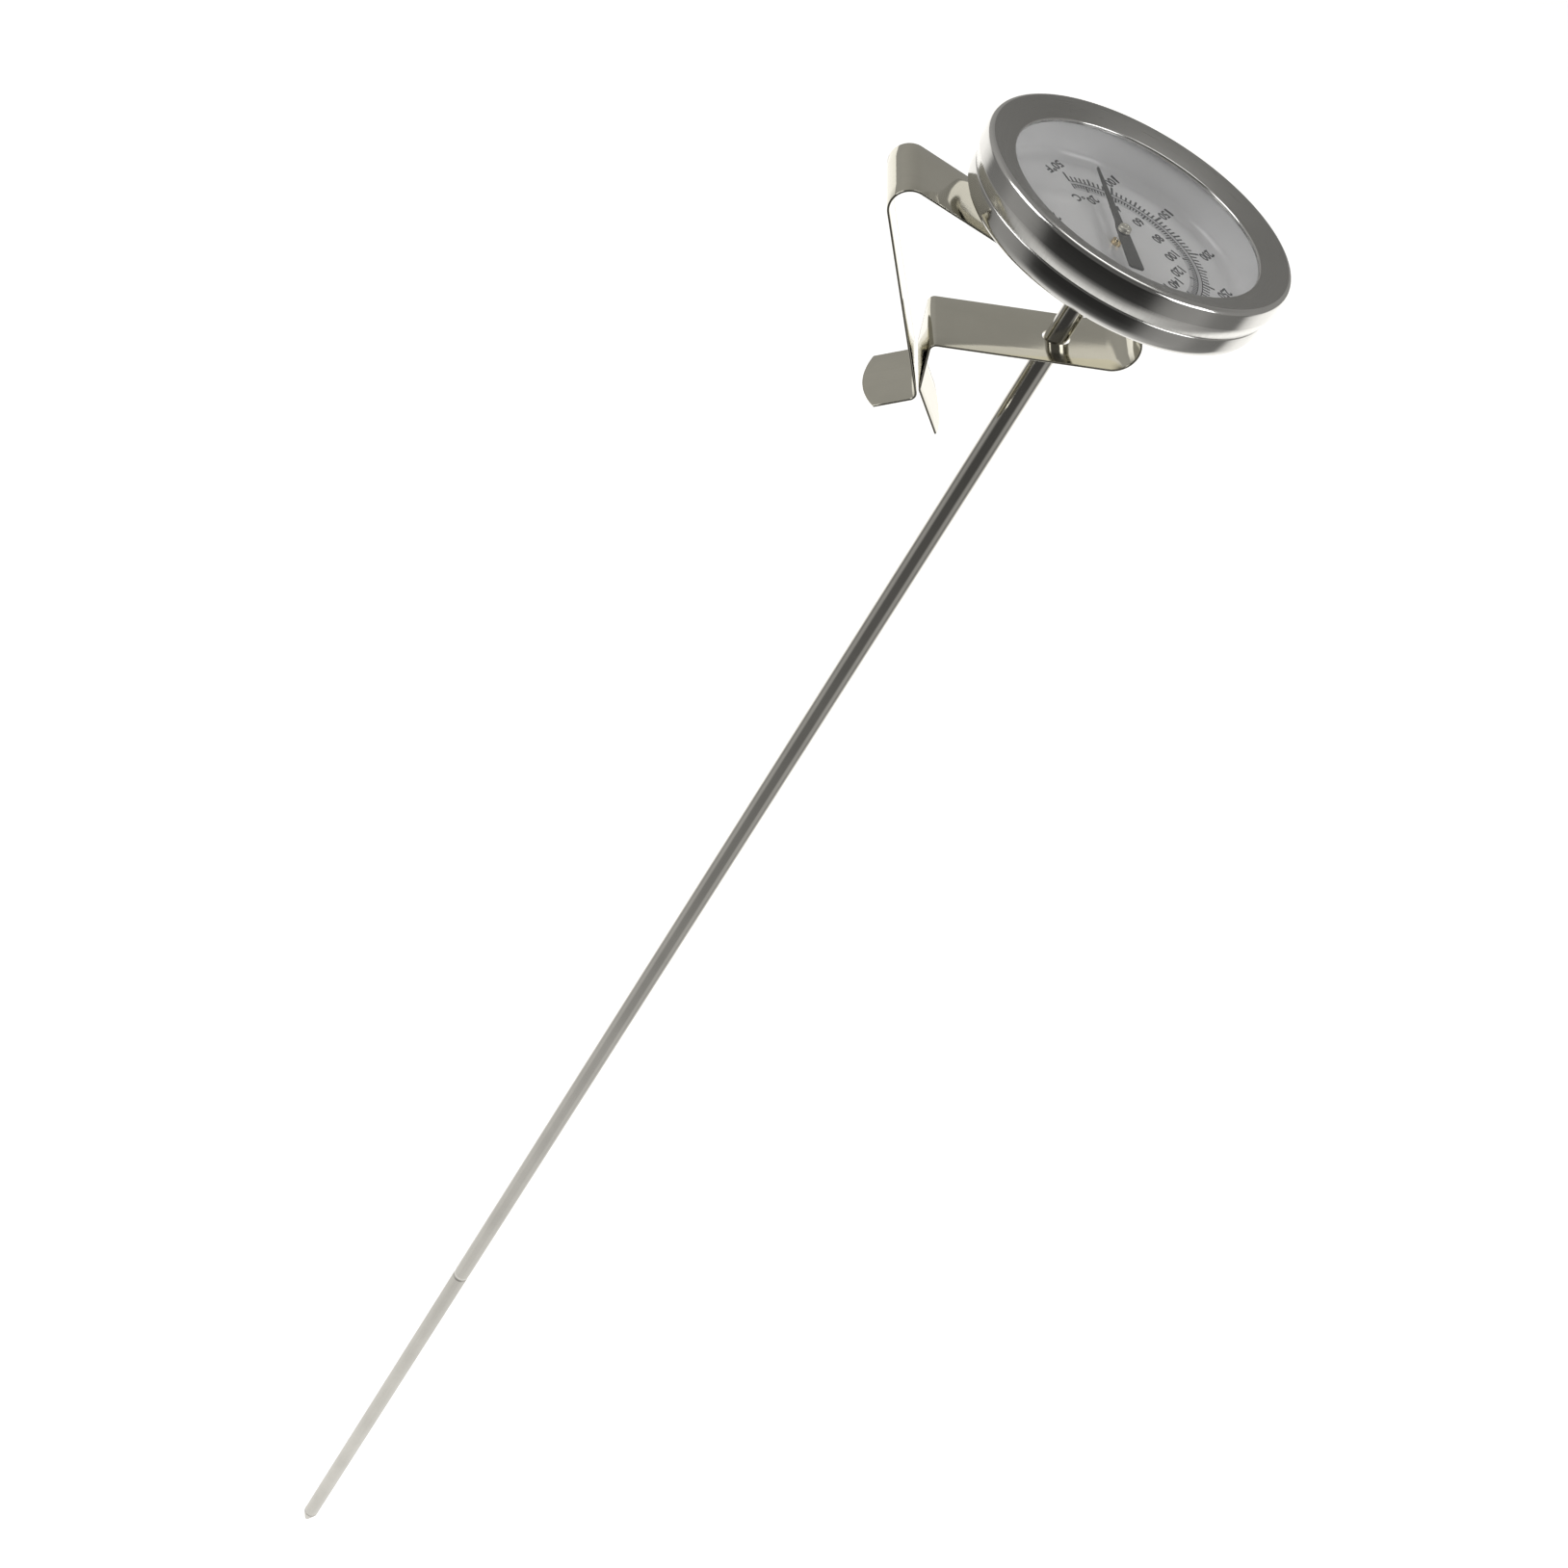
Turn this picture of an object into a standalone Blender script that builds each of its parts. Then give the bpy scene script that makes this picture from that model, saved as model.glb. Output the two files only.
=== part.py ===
"""Dial thermometer with a long stem and a spring-steel pot clip.

Run with: blender --background --python part.py

Units are metres and +Z is up. The origin is the middle of the clip's grip, where the two legs
of the clip close on the wall of a pot. The stem is vertical, STEM_X to the right of the grip,
with the dial on top, FRONT_Z above the grip. The clip is one bent strip that flexes at two
bends. It is modelled as three stiff lengths with a hinge at each of those two bends.

Heights in the head are measured from the bezel's front face, which is 0, downwards negative.
"""
import math

import bmesh
import bpy
from mathutils import Vector

MM = 0.001

# Driving dimensions, in millimetres -----------------------------------------------------------
STEM_X = 16.4             # grip centre to stem axis
FRONT_Z = 38.9            # grip centre up to the bezel's front face

GAP = 0.3                 # between pieces that touch or are clamped together
RUNNING = 0.08            # radial clearance of a shaft in its bearing, or of a pressed ring
ROUND_STEPS = 56          # facets round the head
SMALL_STEPS = 28          # facets round the stem and everything in it

BEZEL_R = 24.7            # side of the bezel
BEZEL_BORE_R = 23.8
BEZEL_CORNER = 0.75
BEZEL_DISH = 17.0         # how steeply the front slopes in towards the opening, in degrees
BEZEL_SHEET = 1.0
OPENING_R = 19.85
OPENING_LIP = 0.3         # rounding of the opening's edge
OPENING_BOTTOM = -1.8     # underside of the opening's edge
CRIMP_TOP = -3.0          # the side is straight down to here, then it curls in
CRIMP_R = 2.4
CRIMP_SLOPE = 18.0
CRIMP_END_R = 24.11
BEZEL_BOTTOM = -5.2

LENS_TOP = OPENING_BOTTOM - GAP
LENS_BOTTOM = -2.9
CLAMPED_R = BEZEL_BORE_R - GAP    # lens, gasket, dial and the case's neck, clamped by the bezel

GASKET_TOP = LENS_BOTTOM - GAP
GASKET_BOTTOM = -3.6

DIAL_FLANGE_TOP = GASKET_BOTTOM - GAP
DIAL_WALL_R = 20.9        # inside of the dish's wall
DIAL_COVE = 1.5           # fillet between the dish's floor and wall
DIAL_TOP = -7.95
DIAL_SHEET = 0.35

CASE_R = 24.1
CASE_NECK_TOP = DIAL_FLANGE_TOP - DIAL_SHEET - GAP
CASE_SHOULDER = BEZEL_BOTTOM - GAP
CASE_WALL = 0.5
CASE_CORNER = 1.9
CASE_BOTTOM = -9.2
BOSS_R = 6.2              # pressed boss in the middle of the back
BOSS_BOTTOM = -10.5

STEM_R = 1.75
STEM_BORE_R = 1.35
STEM_TOP = -8.6
STEM_END = -415.0         # lower end of the tube, where the plug closes it
TIP_Z = -419.5
GROOVE_Z = -297.2         # shallow rolled groove round the tube
GROOVE_DEPTH = 0.12

SPINDLE_R = 0.35
SPINDLE_TOP = -5.05
SPINDLE_END = -365.0
POINTER_TOP = -5.75
POINTER_SHEET = 0.3
POINTER_LENGTH = 16.9     # axis to tip
POINTER_TAIL = 9.0        # axis to the end of the counterweight
POINTER_ANGLE = 100.0     # where it points at rest, degrees from +X
HUB_R = 1.0
HUB_TOP = -4.85
BUSHING_R = 0.75

COIL_TOP = -366.5
COIL_BOTTOM = -404.5
COIL_R = 1.12             # outside of the bimetal helix
COIL_TURNS = 19
COIL_STRIP = (0.22, 0.9)  # radial thickness and width along the stem

NUT_TOP = BOSS_BOTTOM - GAP
NUT_BOTTOM = -12.9
NUT_FLATS = 9.0

STRIP = 0.35              # thickness of the clip's strip
CLIP_WIDTH = 13.5
SPRING_BEND = (6.1, -19.75)       # centre of the bend between the arms: from the axis, height
SPRING_BEND_R = 3.925             # radius of the strip's middle
TOP_BEND = (-30.9, -12.65)        # centre of the bend from the upper arm into the long leg
TOP_BEND_R = 3.025
LOWER_ARM_SLOPE = 16.3            # degrees, falling away from the spring bend
LONG_LEG_SLOPE = 55.9             # degrees below horizontal
LONG_LEG = 31.2                   # top bend to fold
GRIP_AT = 29.85                   # top bend to the line where the short leg presses
SHORT_LEG_SLOPE = 75.0
SHORT_LEG_BEND_R = 1.0            # bend between the lower arm and the short leg
FOLD_R = 1.05                     # bend between each leg and its tab
LONG_TAB = (218.3, 6.6)           # heading in degrees and straight length of the long leg's tab
SHORT_TAB = (-46.2, 8.0)          # the same for the short leg's tab
TAB_END_R = 14.2                  # radius of the arc that ends a tab
LOWER_HOLE = (0.0, 2.05, 2.0)     # stem hole: offset along X, half length and half width
UPPER_HOLE = (0.35, 2.6, 2.0)     # longer, so that the arm can be pressed down


# Helpers --------------------------------------------------------------------------------------
def clear_scene():
    """Remove every object that is in the scene."""
    for item in list(bpy.data.objects):
        bpy.data.objects.remove(item, do_unlink=True)


def material(name, colour, metallic, roughness, alpha=1.0):
    """A plain Principled material."""
    made = bpy.data.materials.new(name)
    made.use_nodes = True
    shader = made.node_tree.nodes["Principled BSDF"]
    shader.inputs["Base Color"].default_value = (*colour, 1.0)
    shader.inputs["Metallic"].default_value = metallic
    shader.inputs["Roughness"].default_value = roughness
    shader.inputs["Alpha"].default_value = alpha
    made.diffuse_color = (*colour, alpha)
    return made


def empty(name, location, parent=None):
    """An empty at a place in millimetres, relative to its parent."""
    made = bpy.data.objects.new(name, None)
    made.location = Vector(location) * MM
    made.parent = parent
    bpy.context.collection.objects.link(made)
    return made


def add_object(name, mesh, parent, finish, smooth=35.0):
    """Link a mesh as one named sub-part under its empty."""
    made = bpy.data.objects.new(name, mesh)
    made.parent = parent
    bpy.context.collection.objects.link(made)
    if finish is not None:
        mesh.materials.append(finish)
    mesh.shade_smooth()
    mesh.set_sharp_from_angle(angle=math.radians(smooth))
    return made


def mesh_from(name, bm):
    """Turn a bmesh whose units are millimetres into a mesh in metres."""
    bmesh.ops.scale(bm, vec=(MM, MM, MM), verts=bm.verts)
    mesh = bpy.data.meshes.new(name)
    bm.to_mesh(mesh)
    bm.free()
    return mesh


def arc(centre, radius, start, end, steps):
    """Points on an arc, angles in degrees from the first axis."""
    angles = [math.radians(start + (end - start) * i / steps) for i in range(steps + 1)]
    return [(centre[0] + radius * math.cos(a), centre[1] + radius * math.sin(a)) for a in angles]


def turned(name, outline, parent, finish, steps=ROUND_STEPS, closed=True):
    """A turned piece: (radius, height) points, down the outside and then up the inside.

    An outline that starts and ends on the axis is left open there.
    """
    bm = bmesh.new()
    points = [bm.verts.new((radius, 0.0, height)) for radius, height in outline]
    for first, second in zip(points, points[1:]):
        bm.edges.new((first, second))
    if closed:
        bm.edges.new((points[-1], points[0]))
    made = add_object(name, mesh_from(name, bm), parent, finish)
    screw = made.modifiers.new("turn", "SCREW")
    screw.axis = "Z"
    screw.steps = steps
    screw.render_steps = steps
    screw.use_merge_vertices = True
    screw.merge_threshold = 1e-6
    screw.use_smooth_shade = True
    return made


def tube(name, outer, inner, top, bottom, parent, finish, steps=SMALL_STEPS):
    """A plain ring or sleeve."""
    outline = [(outer, top), (outer, bottom), (inner, bottom), (inner, top)]
    return turned(name, outline, parent, finish, steps)


def prism(name, outline, top, bottom, parent, finish):
    """A flat piece: an (x, y) outline, anticlockwise, between two heights."""
    bm = bmesh.new()
    face = bm.faces.new([bm.verts.new((x, y, bottom)) for x, y in outline])
    grown = bmesh.ops.extrude_face_region(bm, geom=[face])
    raised = [item for item in grown["geom"] if isinstance(item, bmesh.types.BMVert)]
    bmesh.ops.translate(bm, verts=raised, vec=(0.0, 0.0, top - bottom))
    bmesh.ops.recalc_face_normals(bm, faces=bm.faces)
    return add_object(name, mesh_from(name, bm), parent, finish)


def cut(made, cutter):
    """Cut one object out of another."""
    cutter.hide_render = True
    cutter.display_type = "WIRE"
    boolean = made.modifiers.new("cut", "BOOLEAN")
    boolean.operation = "DIFFERENCE"
    boolean.solver = "EXACT"
    boolean.object = cutter


def slot_outline(centre_x, half_length, half_width):
    """A slot along X with round ends, anticlockwise."""
    straight = half_length - half_width
    right = arc((centre_x + straight, 0.0), half_width, -90, 90, 10)
    left = arc((centre_x - straight, 0.0), half_width, 90, 270, 10)
    return right + left


# The clip -------------------------------------------------------------------------------------
def heading(degrees):
    """Unit vector in the clip's side view."""
    return Vector((math.cos(math.radians(degrees)), math.sin(math.radians(degrees))))


def upper_arm_heading():
    """Heading of the common tangent that lies over the two bends of the upper arm."""
    top_bend, spring_bend = Vector(TOP_BEND), Vector(SPRING_BEND)
    run = spring_bend - top_bend
    rise = math.asin((SPRING_BEND_R - TOP_BEND_R) / run.length)
    return math.degrees(math.atan2(run.y, run.x) + rise)


def leg_normal():
    """From the long leg towards the short leg."""
    return heading(90.0 - LONG_LEG_SLOPE)


def long_leg_start():
    """Middle of the strip where the top bend ends and the long leg begins."""
    return Vector(TOP_BEND) - TOP_BEND_R * leg_normal()


def spring_apex():
    """Middle of the strip at the far side of the spring bend."""
    return Vector(SPRING_BEND) + SPRING_BEND_R * heading(0.0)


def fillet(before, corner, after, radius, steps):
    """Arc that rounds a corner of the strip's middle line."""
    back = (before - corner).normalized()
    ahead = (after - corner).normalized()
    half = back.angle(ahead) / 2
    centre = corner + (back + ahead).normalized() * radius / math.sin(half)
    start = corner + back * radius / math.tan(half) - centre
    end = corner + ahead * radius / math.tan(half) - centre
    turn = start.angle_signed(end)
    first = math.atan2(start.y, start.x)
    angles = [first - turn * i / steps for i in range(steps + 1)]
    return [centre + radius * Vector((math.cos(a), math.sin(a))) for a in angles]


def tab(start, direction, length):
    """Points at a tab's end with their share of the strip's half width: it ends in an arc."""
    half = CLIP_WIDTH / 2
    widest = math.asin(half / TAB_END_R)
    centre = start + heading(direction) * (length - TAB_END_R * math.cos(widest))
    steps = 6
    points = []
    for i in range(steps + 1):
        angle = widest * (1.0 - 0.95 * i / steps)
        place = centre + heading(direction) * TAB_END_R * math.cos(angle)
        points.append((place, TAB_END_R * math.sin(angle) / half))
    return points


def strip(name, points, hinge, parent, finish):
    """A length of the clip: a strip swept along (point, share of half width) in side view."""
    bm = bmesh.new()
    places = [place for place, share in points]
    rings = []
    for i, (place, share) in enumerate(points):
        before = places[max(i - 1, 0)]
        after = places[min(i + 1, len(places) - 1)]
        into = (place - before).normalized() if i > 0 else (after - place).normalized()
        out = (after - place).normalized() if i < len(places) - 1 else into
        along = (into + out).normalized()
        across = Vector((-along.y, along.x)) / max(along.dot(into), 0.5)
        half = CLIP_WIDTH / 2 * share
        corners = []
        for side, edge in ((1, -1), (1, 1), (-1, 1), (-1, -1)):
            spot = place + across * side * STRIP / 2 - Vector(hinge)
            corners.append(bm.verts.new((spot.x, edge * half, spot.y)))
        rings.append(corners)
    for ring, following in zip(rings, rings[1:]):
        for i in range(4):
            j = (i + 1) % 4
            bm.faces.new((ring[i], ring[j], following[j], following[i]))
    bm.faces.new(rings[0][::-1])
    bm.faces.new(rings[-1])
    bmesh.ops.recalc_face_normals(bm, faces=bm.faces)
    return add_object(name, mesh_from(name, bm), parent, finish)


def full_width(points):
    """Give each point the strip's whole width."""
    return [(Vector(point), 1.0) for point in points]


def stem_hole(made, hinge, parent, hole):
    """Cut the slotted hole for the stem through an arm of the clip."""
    offset, half_length, half_width = hole
    outline = slot_outline(offset - hinge[0], half_length, half_width)
    top = TOP_BEND[1] + 5.0 - hinge[1]
    bottom = SPRING_BEND[1] - 15.0 - hinge[1]
    cut(made, prism(made.name + "_hole_cutter", outline, top, bottom, parent, None))


def lower_strip_path():
    """Spring bend's lower half, lower arm, short leg and its tab."""
    gap_angle = math.degrees(GAP / 2 / SPRING_BEND_R)
    bend = arc(SPRING_BEND, SPRING_BEND_R, -gap_angle, LOWER_ARM_SLOPE - 90.0, 8)
    arm = -heading(LOWER_ARM_SLOPE)
    leg = heading(-SHORT_LEG_SLOPE)
    # The short leg's fold presses on the long leg, so its centre is worked out from there.
    grip = long_leg_start() + heading(-LONG_LEG_SLOPE) * GRIP_AT
    fold_centre = grip + leg_normal() * (FOLD_R + STRIP + GAP)
    fold = arc(fold_centre, FOLD_R, -SHORT_LEG_SLOPE - 90.0, SHORT_TAB[0] - 90.0, 5)
    # The arm's line meets the short leg's line at the corner.
    start = Vector(bend[-1])
    end = Vector(fold[0])
    across = end - start
    reach = (across.x * leg.y - across.y * leg.x) / (arm.x * leg.y - arm.y * leg.x)
    corner = start + arm * reach
    path = full_width(bend) + full_width(fillet(start, corner, end, SHORT_LEG_BEND_R, 6))
    return path + full_width(fold) + tab(Vector(fold[-1]), *SHORT_TAB)


def upper_arm_path():
    """Spring bend's upper half, upper arm and the top bend."""
    top_angle = 90.0 + upper_arm_heading()
    gap_angle = math.degrees(GAP / 2 / SPRING_BEND_R)
    spring = arc(SPRING_BEND, SPRING_BEND_R, gap_angle, top_angle, 8)
    leg_angle = 270.0 - LONG_LEG_SLOPE - math.degrees(GAP / 2 / TOP_BEND_R)
    return full_width(spring) + full_width(arc(TOP_BEND, TOP_BEND_R, top_angle, leg_angle, 11))


def jaw_leg_path():
    """Long leg and its tab."""
    leg = heading(-LONG_LEG_SLOPE)
    start = long_leg_start() + leg * GAP / 2
    fold = long_leg_start() + leg * LONG_LEG
    tab_end = fold + heading(LONG_TAB[0]) * LONG_TAB[1]
    path = full_width([start]) + full_width(fillet(start, fold, tab_end, FOLD_R, 7))
    return path + tab(fold, *LONG_TAB)


def build_clip(axis, steel):
    """The three stiff lengths of the clip."""
    spring = spring_apex()
    jaw = long_leg_start()
    spring_empty = empty("spring_bend_axis", (spring.x, 0.0, spring.y), axis)
    jaw_empty = empty("top_bend_axis", (jaw.x - spring.x, 0.0, jaw.y - spring.y), spring_empty)
    lower = strip("clip_lower_arm", lower_strip_path(), (0.0, 0.0), axis, steel)
    stem_hole(lower, (0.0, 0.0), axis, LOWER_HOLE)
    upper = strip("clip_upper_arm", upper_arm_path(), spring, spring_empty, steel)
    stem_hole(upper, spring, spring_empty, UPPER_HOLE)
    strip("clip_jaw_leg", jaw_leg_path(), jaw, jaw_empty, steel)


# The head -------------------------------------------------------------------------------------
def bezel_outline():
    """Opening's edge, sloping front, rounded corner, side, crimped edge, and up the bore."""
    slope = math.radians(BEZEL_DISH)
    corner = (BEZEL_R - BEZEL_CORNER, -BEZEL_CORNER)
    lip_x = OPENING_R + OPENING_LIP
    # The front is the straight line that touches the lip's arc and the corner's arc.
    drop = (OPENING_LIP - BEZEL_CORNER + math.sin(slope) * (corner[0] - lip_x)) / math.cos(slope)
    points = [(OPENING_R, OPENING_BOTTOM)]
    points += arc((lip_x, corner[1] - drop), OPENING_LIP, 180, 90 + BEZEL_DISH, 3)
    points += arc(corner, BEZEL_CORNER, 90 + BEZEL_DISH, 0, 6)
    points += arc((BEZEL_R - CRIMP_R, CRIMP_TOP), CRIMP_R, 0, -CRIMP_SLOPE, 2)
    points += [(CRIMP_END_R, BEZEL_BOTTOM), (BEZEL_BORE_R, BEZEL_BOTTOM)]
    return points + [(BEZEL_BORE_R, -BEZEL_SHEET), (OPENING_R + 0.6, OPENING_BOTTOM)]


def case_outline(hole_r):
    """Neck inside the bezel, shoulder, side, round corner and boss, then the inside."""
    neck_inside = CLAMPED_R - CASE_WALL
    shoulder_inside = CASE_SHOULDER - CASE_WALL
    inner_floor = CASE_BOTTOM + CASE_WALL
    boss_floor = BOSS_BOTTOM + CASE_WALL
    corner = (CASE_R - CASE_CORNER, CASE_BOTTOM + CASE_CORNER)
    points = [(CLAMPED_R, CASE_NECK_TOP), (CLAMPED_R, CASE_SHOULDER), (CASE_R, CASE_SHOULDER)]
    points += arc(corner, CASE_CORNER, 0, -90, 6)
    points += [(BOSS_R + 0.5, CASE_BOTTOM), (BOSS_R - 0.5, BOSS_BOTTOM), (hole_r, BOSS_BOTTOM)]
    points += [(hole_r, boss_floor), (BOSS_R - 0.8, boss_floor), (BOSS_R + 0.2, inner_floor)]
    points += arc(corner, CASE_CORNER - CASE_WALL, -90, 0, 4)
    points += [(CASE_R - CASE_WALL, shoulder_inside), (neck_inside, shoulder_inside)]
    return points + [(neck_inside, CASE_NECK_TOP)]


def dial_outline(hole_r):
    """A dish: rim, flange, outside of the wall and floor, then the inside, which is the dial."""
    outer_r = DIAL_WALL_R + DIAL_SHEET
    flange_bottom = DIAL_FLANGE_TOP - DIAL_SHEET
    cove = (DIAL_WALL_R - DIAL_COVE, DIAL_TOP + DIAL_COVE)
    points = [(outer_r, GASKET_TOP), (outer_r, DIAL_FLANGE_TOP), (CLAMPED_R, DIAL_FLANGE_TOP)]
    points += [(CLAMPED_R, flange_bottom), (outer_r, flange_bottom)]
    points += arc(cove, DIAL_COVE + DIAL_SHEET, 0, -90, 4)
    points += [(hole_r, DIAL_TOP - DIAL_SHEET), (hole_r, DIAL_TOP)]
    points += arc(cove, DIAL_COVE, -90, 0, 4)
    return points + [(DIAL_WALL_R, GASKET_TOP)]


def build_head(axis, steel, glass, rubber, paint, brass):
    """Case, bezel, lens, gasket and dial, which turn together on the stem."""
    turned("bezel_ring", bezel_outline(), axis, steel)
    turned("case_cup", case_outline(STEM_R + RUNNING), axis, steel)
    lens = [(0.0, LENS_TOP), (CLAMPED_R - 0.2, LENS_TOP), (CLAMPED_R, LENS_TOP - 0.2)]
    lens += [(CLAMPED_R, LENS_BOTTOM), (0.0, LENS_BOTTOM)]
    turned("lens", lens, axis, glass, closed=False)
    tube("lens_gasket", CLAMPED_R, DIAL_WALL_R + DIAL_SHEET + GAP, GASKET_TOP, GASKET_BOTTOM, axis,
         rubber, ROUND_STEPS)
    turned("dial_plate", dial_outline(BUSHING_R + RUNNING), axis, paint)
    tube("dial_bushing", BUSHING_R, SPINDLE_R + RUNNING, DIAL_TOP + 0.6, DIAL_TOP - 0.6, axis,
         brass)


# The pointer and what turns with it -----------------------------------------------------------
def pointer_outline():
    """Tapered pointer with a wide counterweight, along +X, anticlockwise."""
    half_tail, half_neck, half_middle, half_tip = 1.25, 0.95, 0.62, 0.2
    upper = [(POINTER_LENGTH - 0.4, half_tip), (2.6, half_middle), (0.9, half_neck)]
    upper += [(-POINTER_TAIL + 0.3, half_tail), (-POINTER_TAIL, half_tail - 0.3)]
    lower = [(x, -y) for x, y in reversed(upper)]
    return [(POINTER_LENGTH, 0.0)] + upper + lower


def build_pointer(axis, black, steel, brushed):
    """Pointer, hub, spindle and the collar that joins the spindle to the coil."""
    pointer = prism("pointer", pointer_outline(), POINTER_TOP, POINTER_TOP - POINTER_SHEET, axis,
                    black)
    hole = prism("pointer_hole_cutter", slot_outline(0.0, SPINDLE_R + RUNNING + 0.001,
                                                     SPINDLE_R + RUNNING), 0.0, -10.0, axis, None)
    cut(pointer, hole)
    tube("pointer_hub", HUB_R, SPINDLE_R + RUNNING, HUB_TOP, POINTER_TOP + 0.1, axis, brushed)
    shaft = [(0.0, SPINDLE_TOP), (SPINDLE_R - 0.1, SPINDLE_TOP), (SPINDLE_R, SPINDLE_TOP - 0.1)]
    shaft += [(SPINDLE_R, SPINDLE_END), (0.0, SPINDLE_END)]
    turned("spindle", shaft, axis, steel, SMALL_STEPS // 2, closed=False)
    tube("coil_top_collar", 0.85, SPINDLE_R + RUNNING, SPINDLE_END + 3.0, SPINDLE_END + 0.4, axis,
         brushed)


# The stem and what is fixed in it -------------------------------------------------------------
def stem_outline():
    """A straight tube with one shallow rolled groove."""
    groove = [(STEM_R, GROOVE_Z + 0.8), (STEM_R - GROOVE_DEPTH, GROOVE_Z + 0.3)]
    groove += [(STEM_R - GROOVE_DEPTH, GROOVE_Z - 0.3), (STEM_R, GROOVE_Z - 0.8)]
    outside = [(STEM_R, STEM_TOP)] + groove + [(STEM_R, STEM_END)]
    return outside + [(STEM_BORE_R, STEM_END), (STEM_BORE_R, STEM_TOP)]


def plug_outline():
    """Anchor post, spigot inside the tube, shoulder and a short round-nosed cone."""
    spigot_r = STEM_BORE_R - RUNNING
    nose_r = 0.75
    nose = (0.0, TIP_Z + nose_r)
    points = [(0.0, COIL_BOTTOM - 0.6), (0.5, COIL_BOTTOM - 0.6), (0.5, STEM_END + 4.0)]
    points += [(spigot_r, STEM_END + 4.0), (spigot_r, STEM_END - 0.1)]
    points += [(STEM_R, STEM_END - 0.1), (STEM_R, STEM_END - 0.7)]
    return points + arc(nose, nose_r, -18, -90, 5)


def coil_mesh():
    """Flat bimetal strip wound in a helix."""
    per_turn = 14
    thickness, width = COIL_STRIP
    height = COIL_TOP - COIL_BOTTOM - width
    bm = bmesh.new()
    rings = []
    for i in range(COIL_TURNS * per_turn + 1):
        share = i / (COIL_TURNS * per_turn)
        angle = 2 * math.pi * COIL_TURNS * share
        middle = COIL_BOTTOM + width / 2 + height * share
        ring = []
        for radius, rise in ((COIL_R, 0.5), (COIL_R - thickness, 0.5),
                             (COIL_R - thickness, -0.5), (COIL_R, -0.5)):
            spot = (radius * math.cos(angle), radius * math.sin(angle), middle + rise * width)
            ring.append(bm.verts.new(spot))
        rings.append(ring)
    for ring, following in zip(rings, rings[1:]):
        for i in range(4):
            j = (i + 1) % 4
            bm.faces.new((ring[i], ring[j], following[j], following[i]))
    bm.faces.new(rings[0][::-1])
    bm.faces.new(rings[-1])
    bmesh.ops.recalc_face_normals(bm, faces=bm.faces)
    return mesh_from("bimetal_coil", bm)


def hexagon(flats):
    """Corners of a hexagon with two flats across Y."""
    return arc((0.0, 0.0), flats / math.sqrt(3), 0, 300, 5)


def build_stem(axis, steel, brushed, brass, bimetal):
    """Tube, plug, coil, guides, and the nut that holds the case."""
    turned("stem_tube", stem_outline(), axis, steel, SMALL_STEPS)
    turned("stem_tip_plug", plug_outline(), axis, steel, SMALL_STEPS, closed=False)
    guide_r = STEM_BORE_R - RUNNING
    guides = (("spindle_guide_upper", STEM_TOP - 0.6), ("spindle_guide_middle", -188.0),
              ("spindle_guide_lower", SPINDLE_END + 7.0))
    for name, top in guides:
        tube(name, guide_r, SPINDLE_R + RUNNING, top, top - 3.0, axis, brass)
    add_object("bimetal_coil", coil_mesh(), axis, bimetal)
    fit_r = STEM_R + RUNNING
    nut = prism("calibration_nut", hexagon(NUT_FLATS), NUT_TOP, NUT_BOTTOM, axis, brushed)
    bore = prism("nut_bore_cutter", arc((0.0, 0.0), fit_r, 0, 350, 35), NUT_TOP + 1.0,
                 NUT_BOTTOM - 1.0, axis, None)
    cut(nut, bore)
    washer_bottom = BOSS_BOTTOM + CASE_WALL + GAP
    tube("spring_washer", 4.6, STEM_R + 0.2, washer_bottom + 0.3, washer_bottom, axis, steel)
    collar_bottom = washer_bottom + 0.3 + 0.2
    tube("retaining_collar", 3.2, fit_r, collar_bottom + 0.55, collar_bottom, axis, brass)


def build():
    """Make the whole thermometer."""
    clear_scene()
    polished = material("polished_steel", (0.60, 0.59, 0.57), 1.0, 0.18)
    satin = material("satin_steel", (0.52, 0.51, 0.49), 1.0, 0.34)
    spring = material("spring_steel", (0.62, 0.60, 0.56), 1.0, 0.14)
    glass = material("clear_lens", (0.95, 0.96, 0.96), 0.0, 0.03, 0.25)
    rubber = material("gasket_rubber", (0.04, 0.04, 0.04), 0.0, 0.7)
    paint = material("dial_white", (0.80, 0.80, 0.79), 0.0, 0.45)
    black = material("pointer_black", (0.02, 0.02, 0.02), 0.0, 0.5)
    brass = material("brass", (0.72, 0.55, 0.28), 1.0, 0.3)
    bimetal = material("bimetal", (0.55, 0.50, 0.42), 1.0, 0.35)
    head_axis = empty("stem_axis", (STEM_X, 0.0, FRONT_Z))
    case_axis = empty("case_turn_axis", (0.0, 0.0, 0.0), head_axis)
    pointer_axis = empty("pointer_turn_axis", (0.0, 0.0, 0.0), head_axis)
    pointer_axis.rotation_euler = (0.0, 0.0, math.radians(POINTER_ANGLE))
    build_clip(head_axis, spring)
    build_head(case_axis, polished, glass, rubber, paint, brass)
    build_stem(head_axis, polished, satin, brass, bimetal)
    build_pointer(pointer_axis, black, polished, satin)


build()
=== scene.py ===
"""Looks of the dial thermometer: fine meshes, materials, floor, light and camera.

Everything is in the frame of the CAD model: metres, +Z up the stem, the origin in the clip's
grip. Outlines are written in millimetres. Heights in the head are measured from the bezel's
front face, and distances across it from the stem's axis.
"""
import math

import bmesh
import bpy
from mathutils import Matrix, Vector


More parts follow.
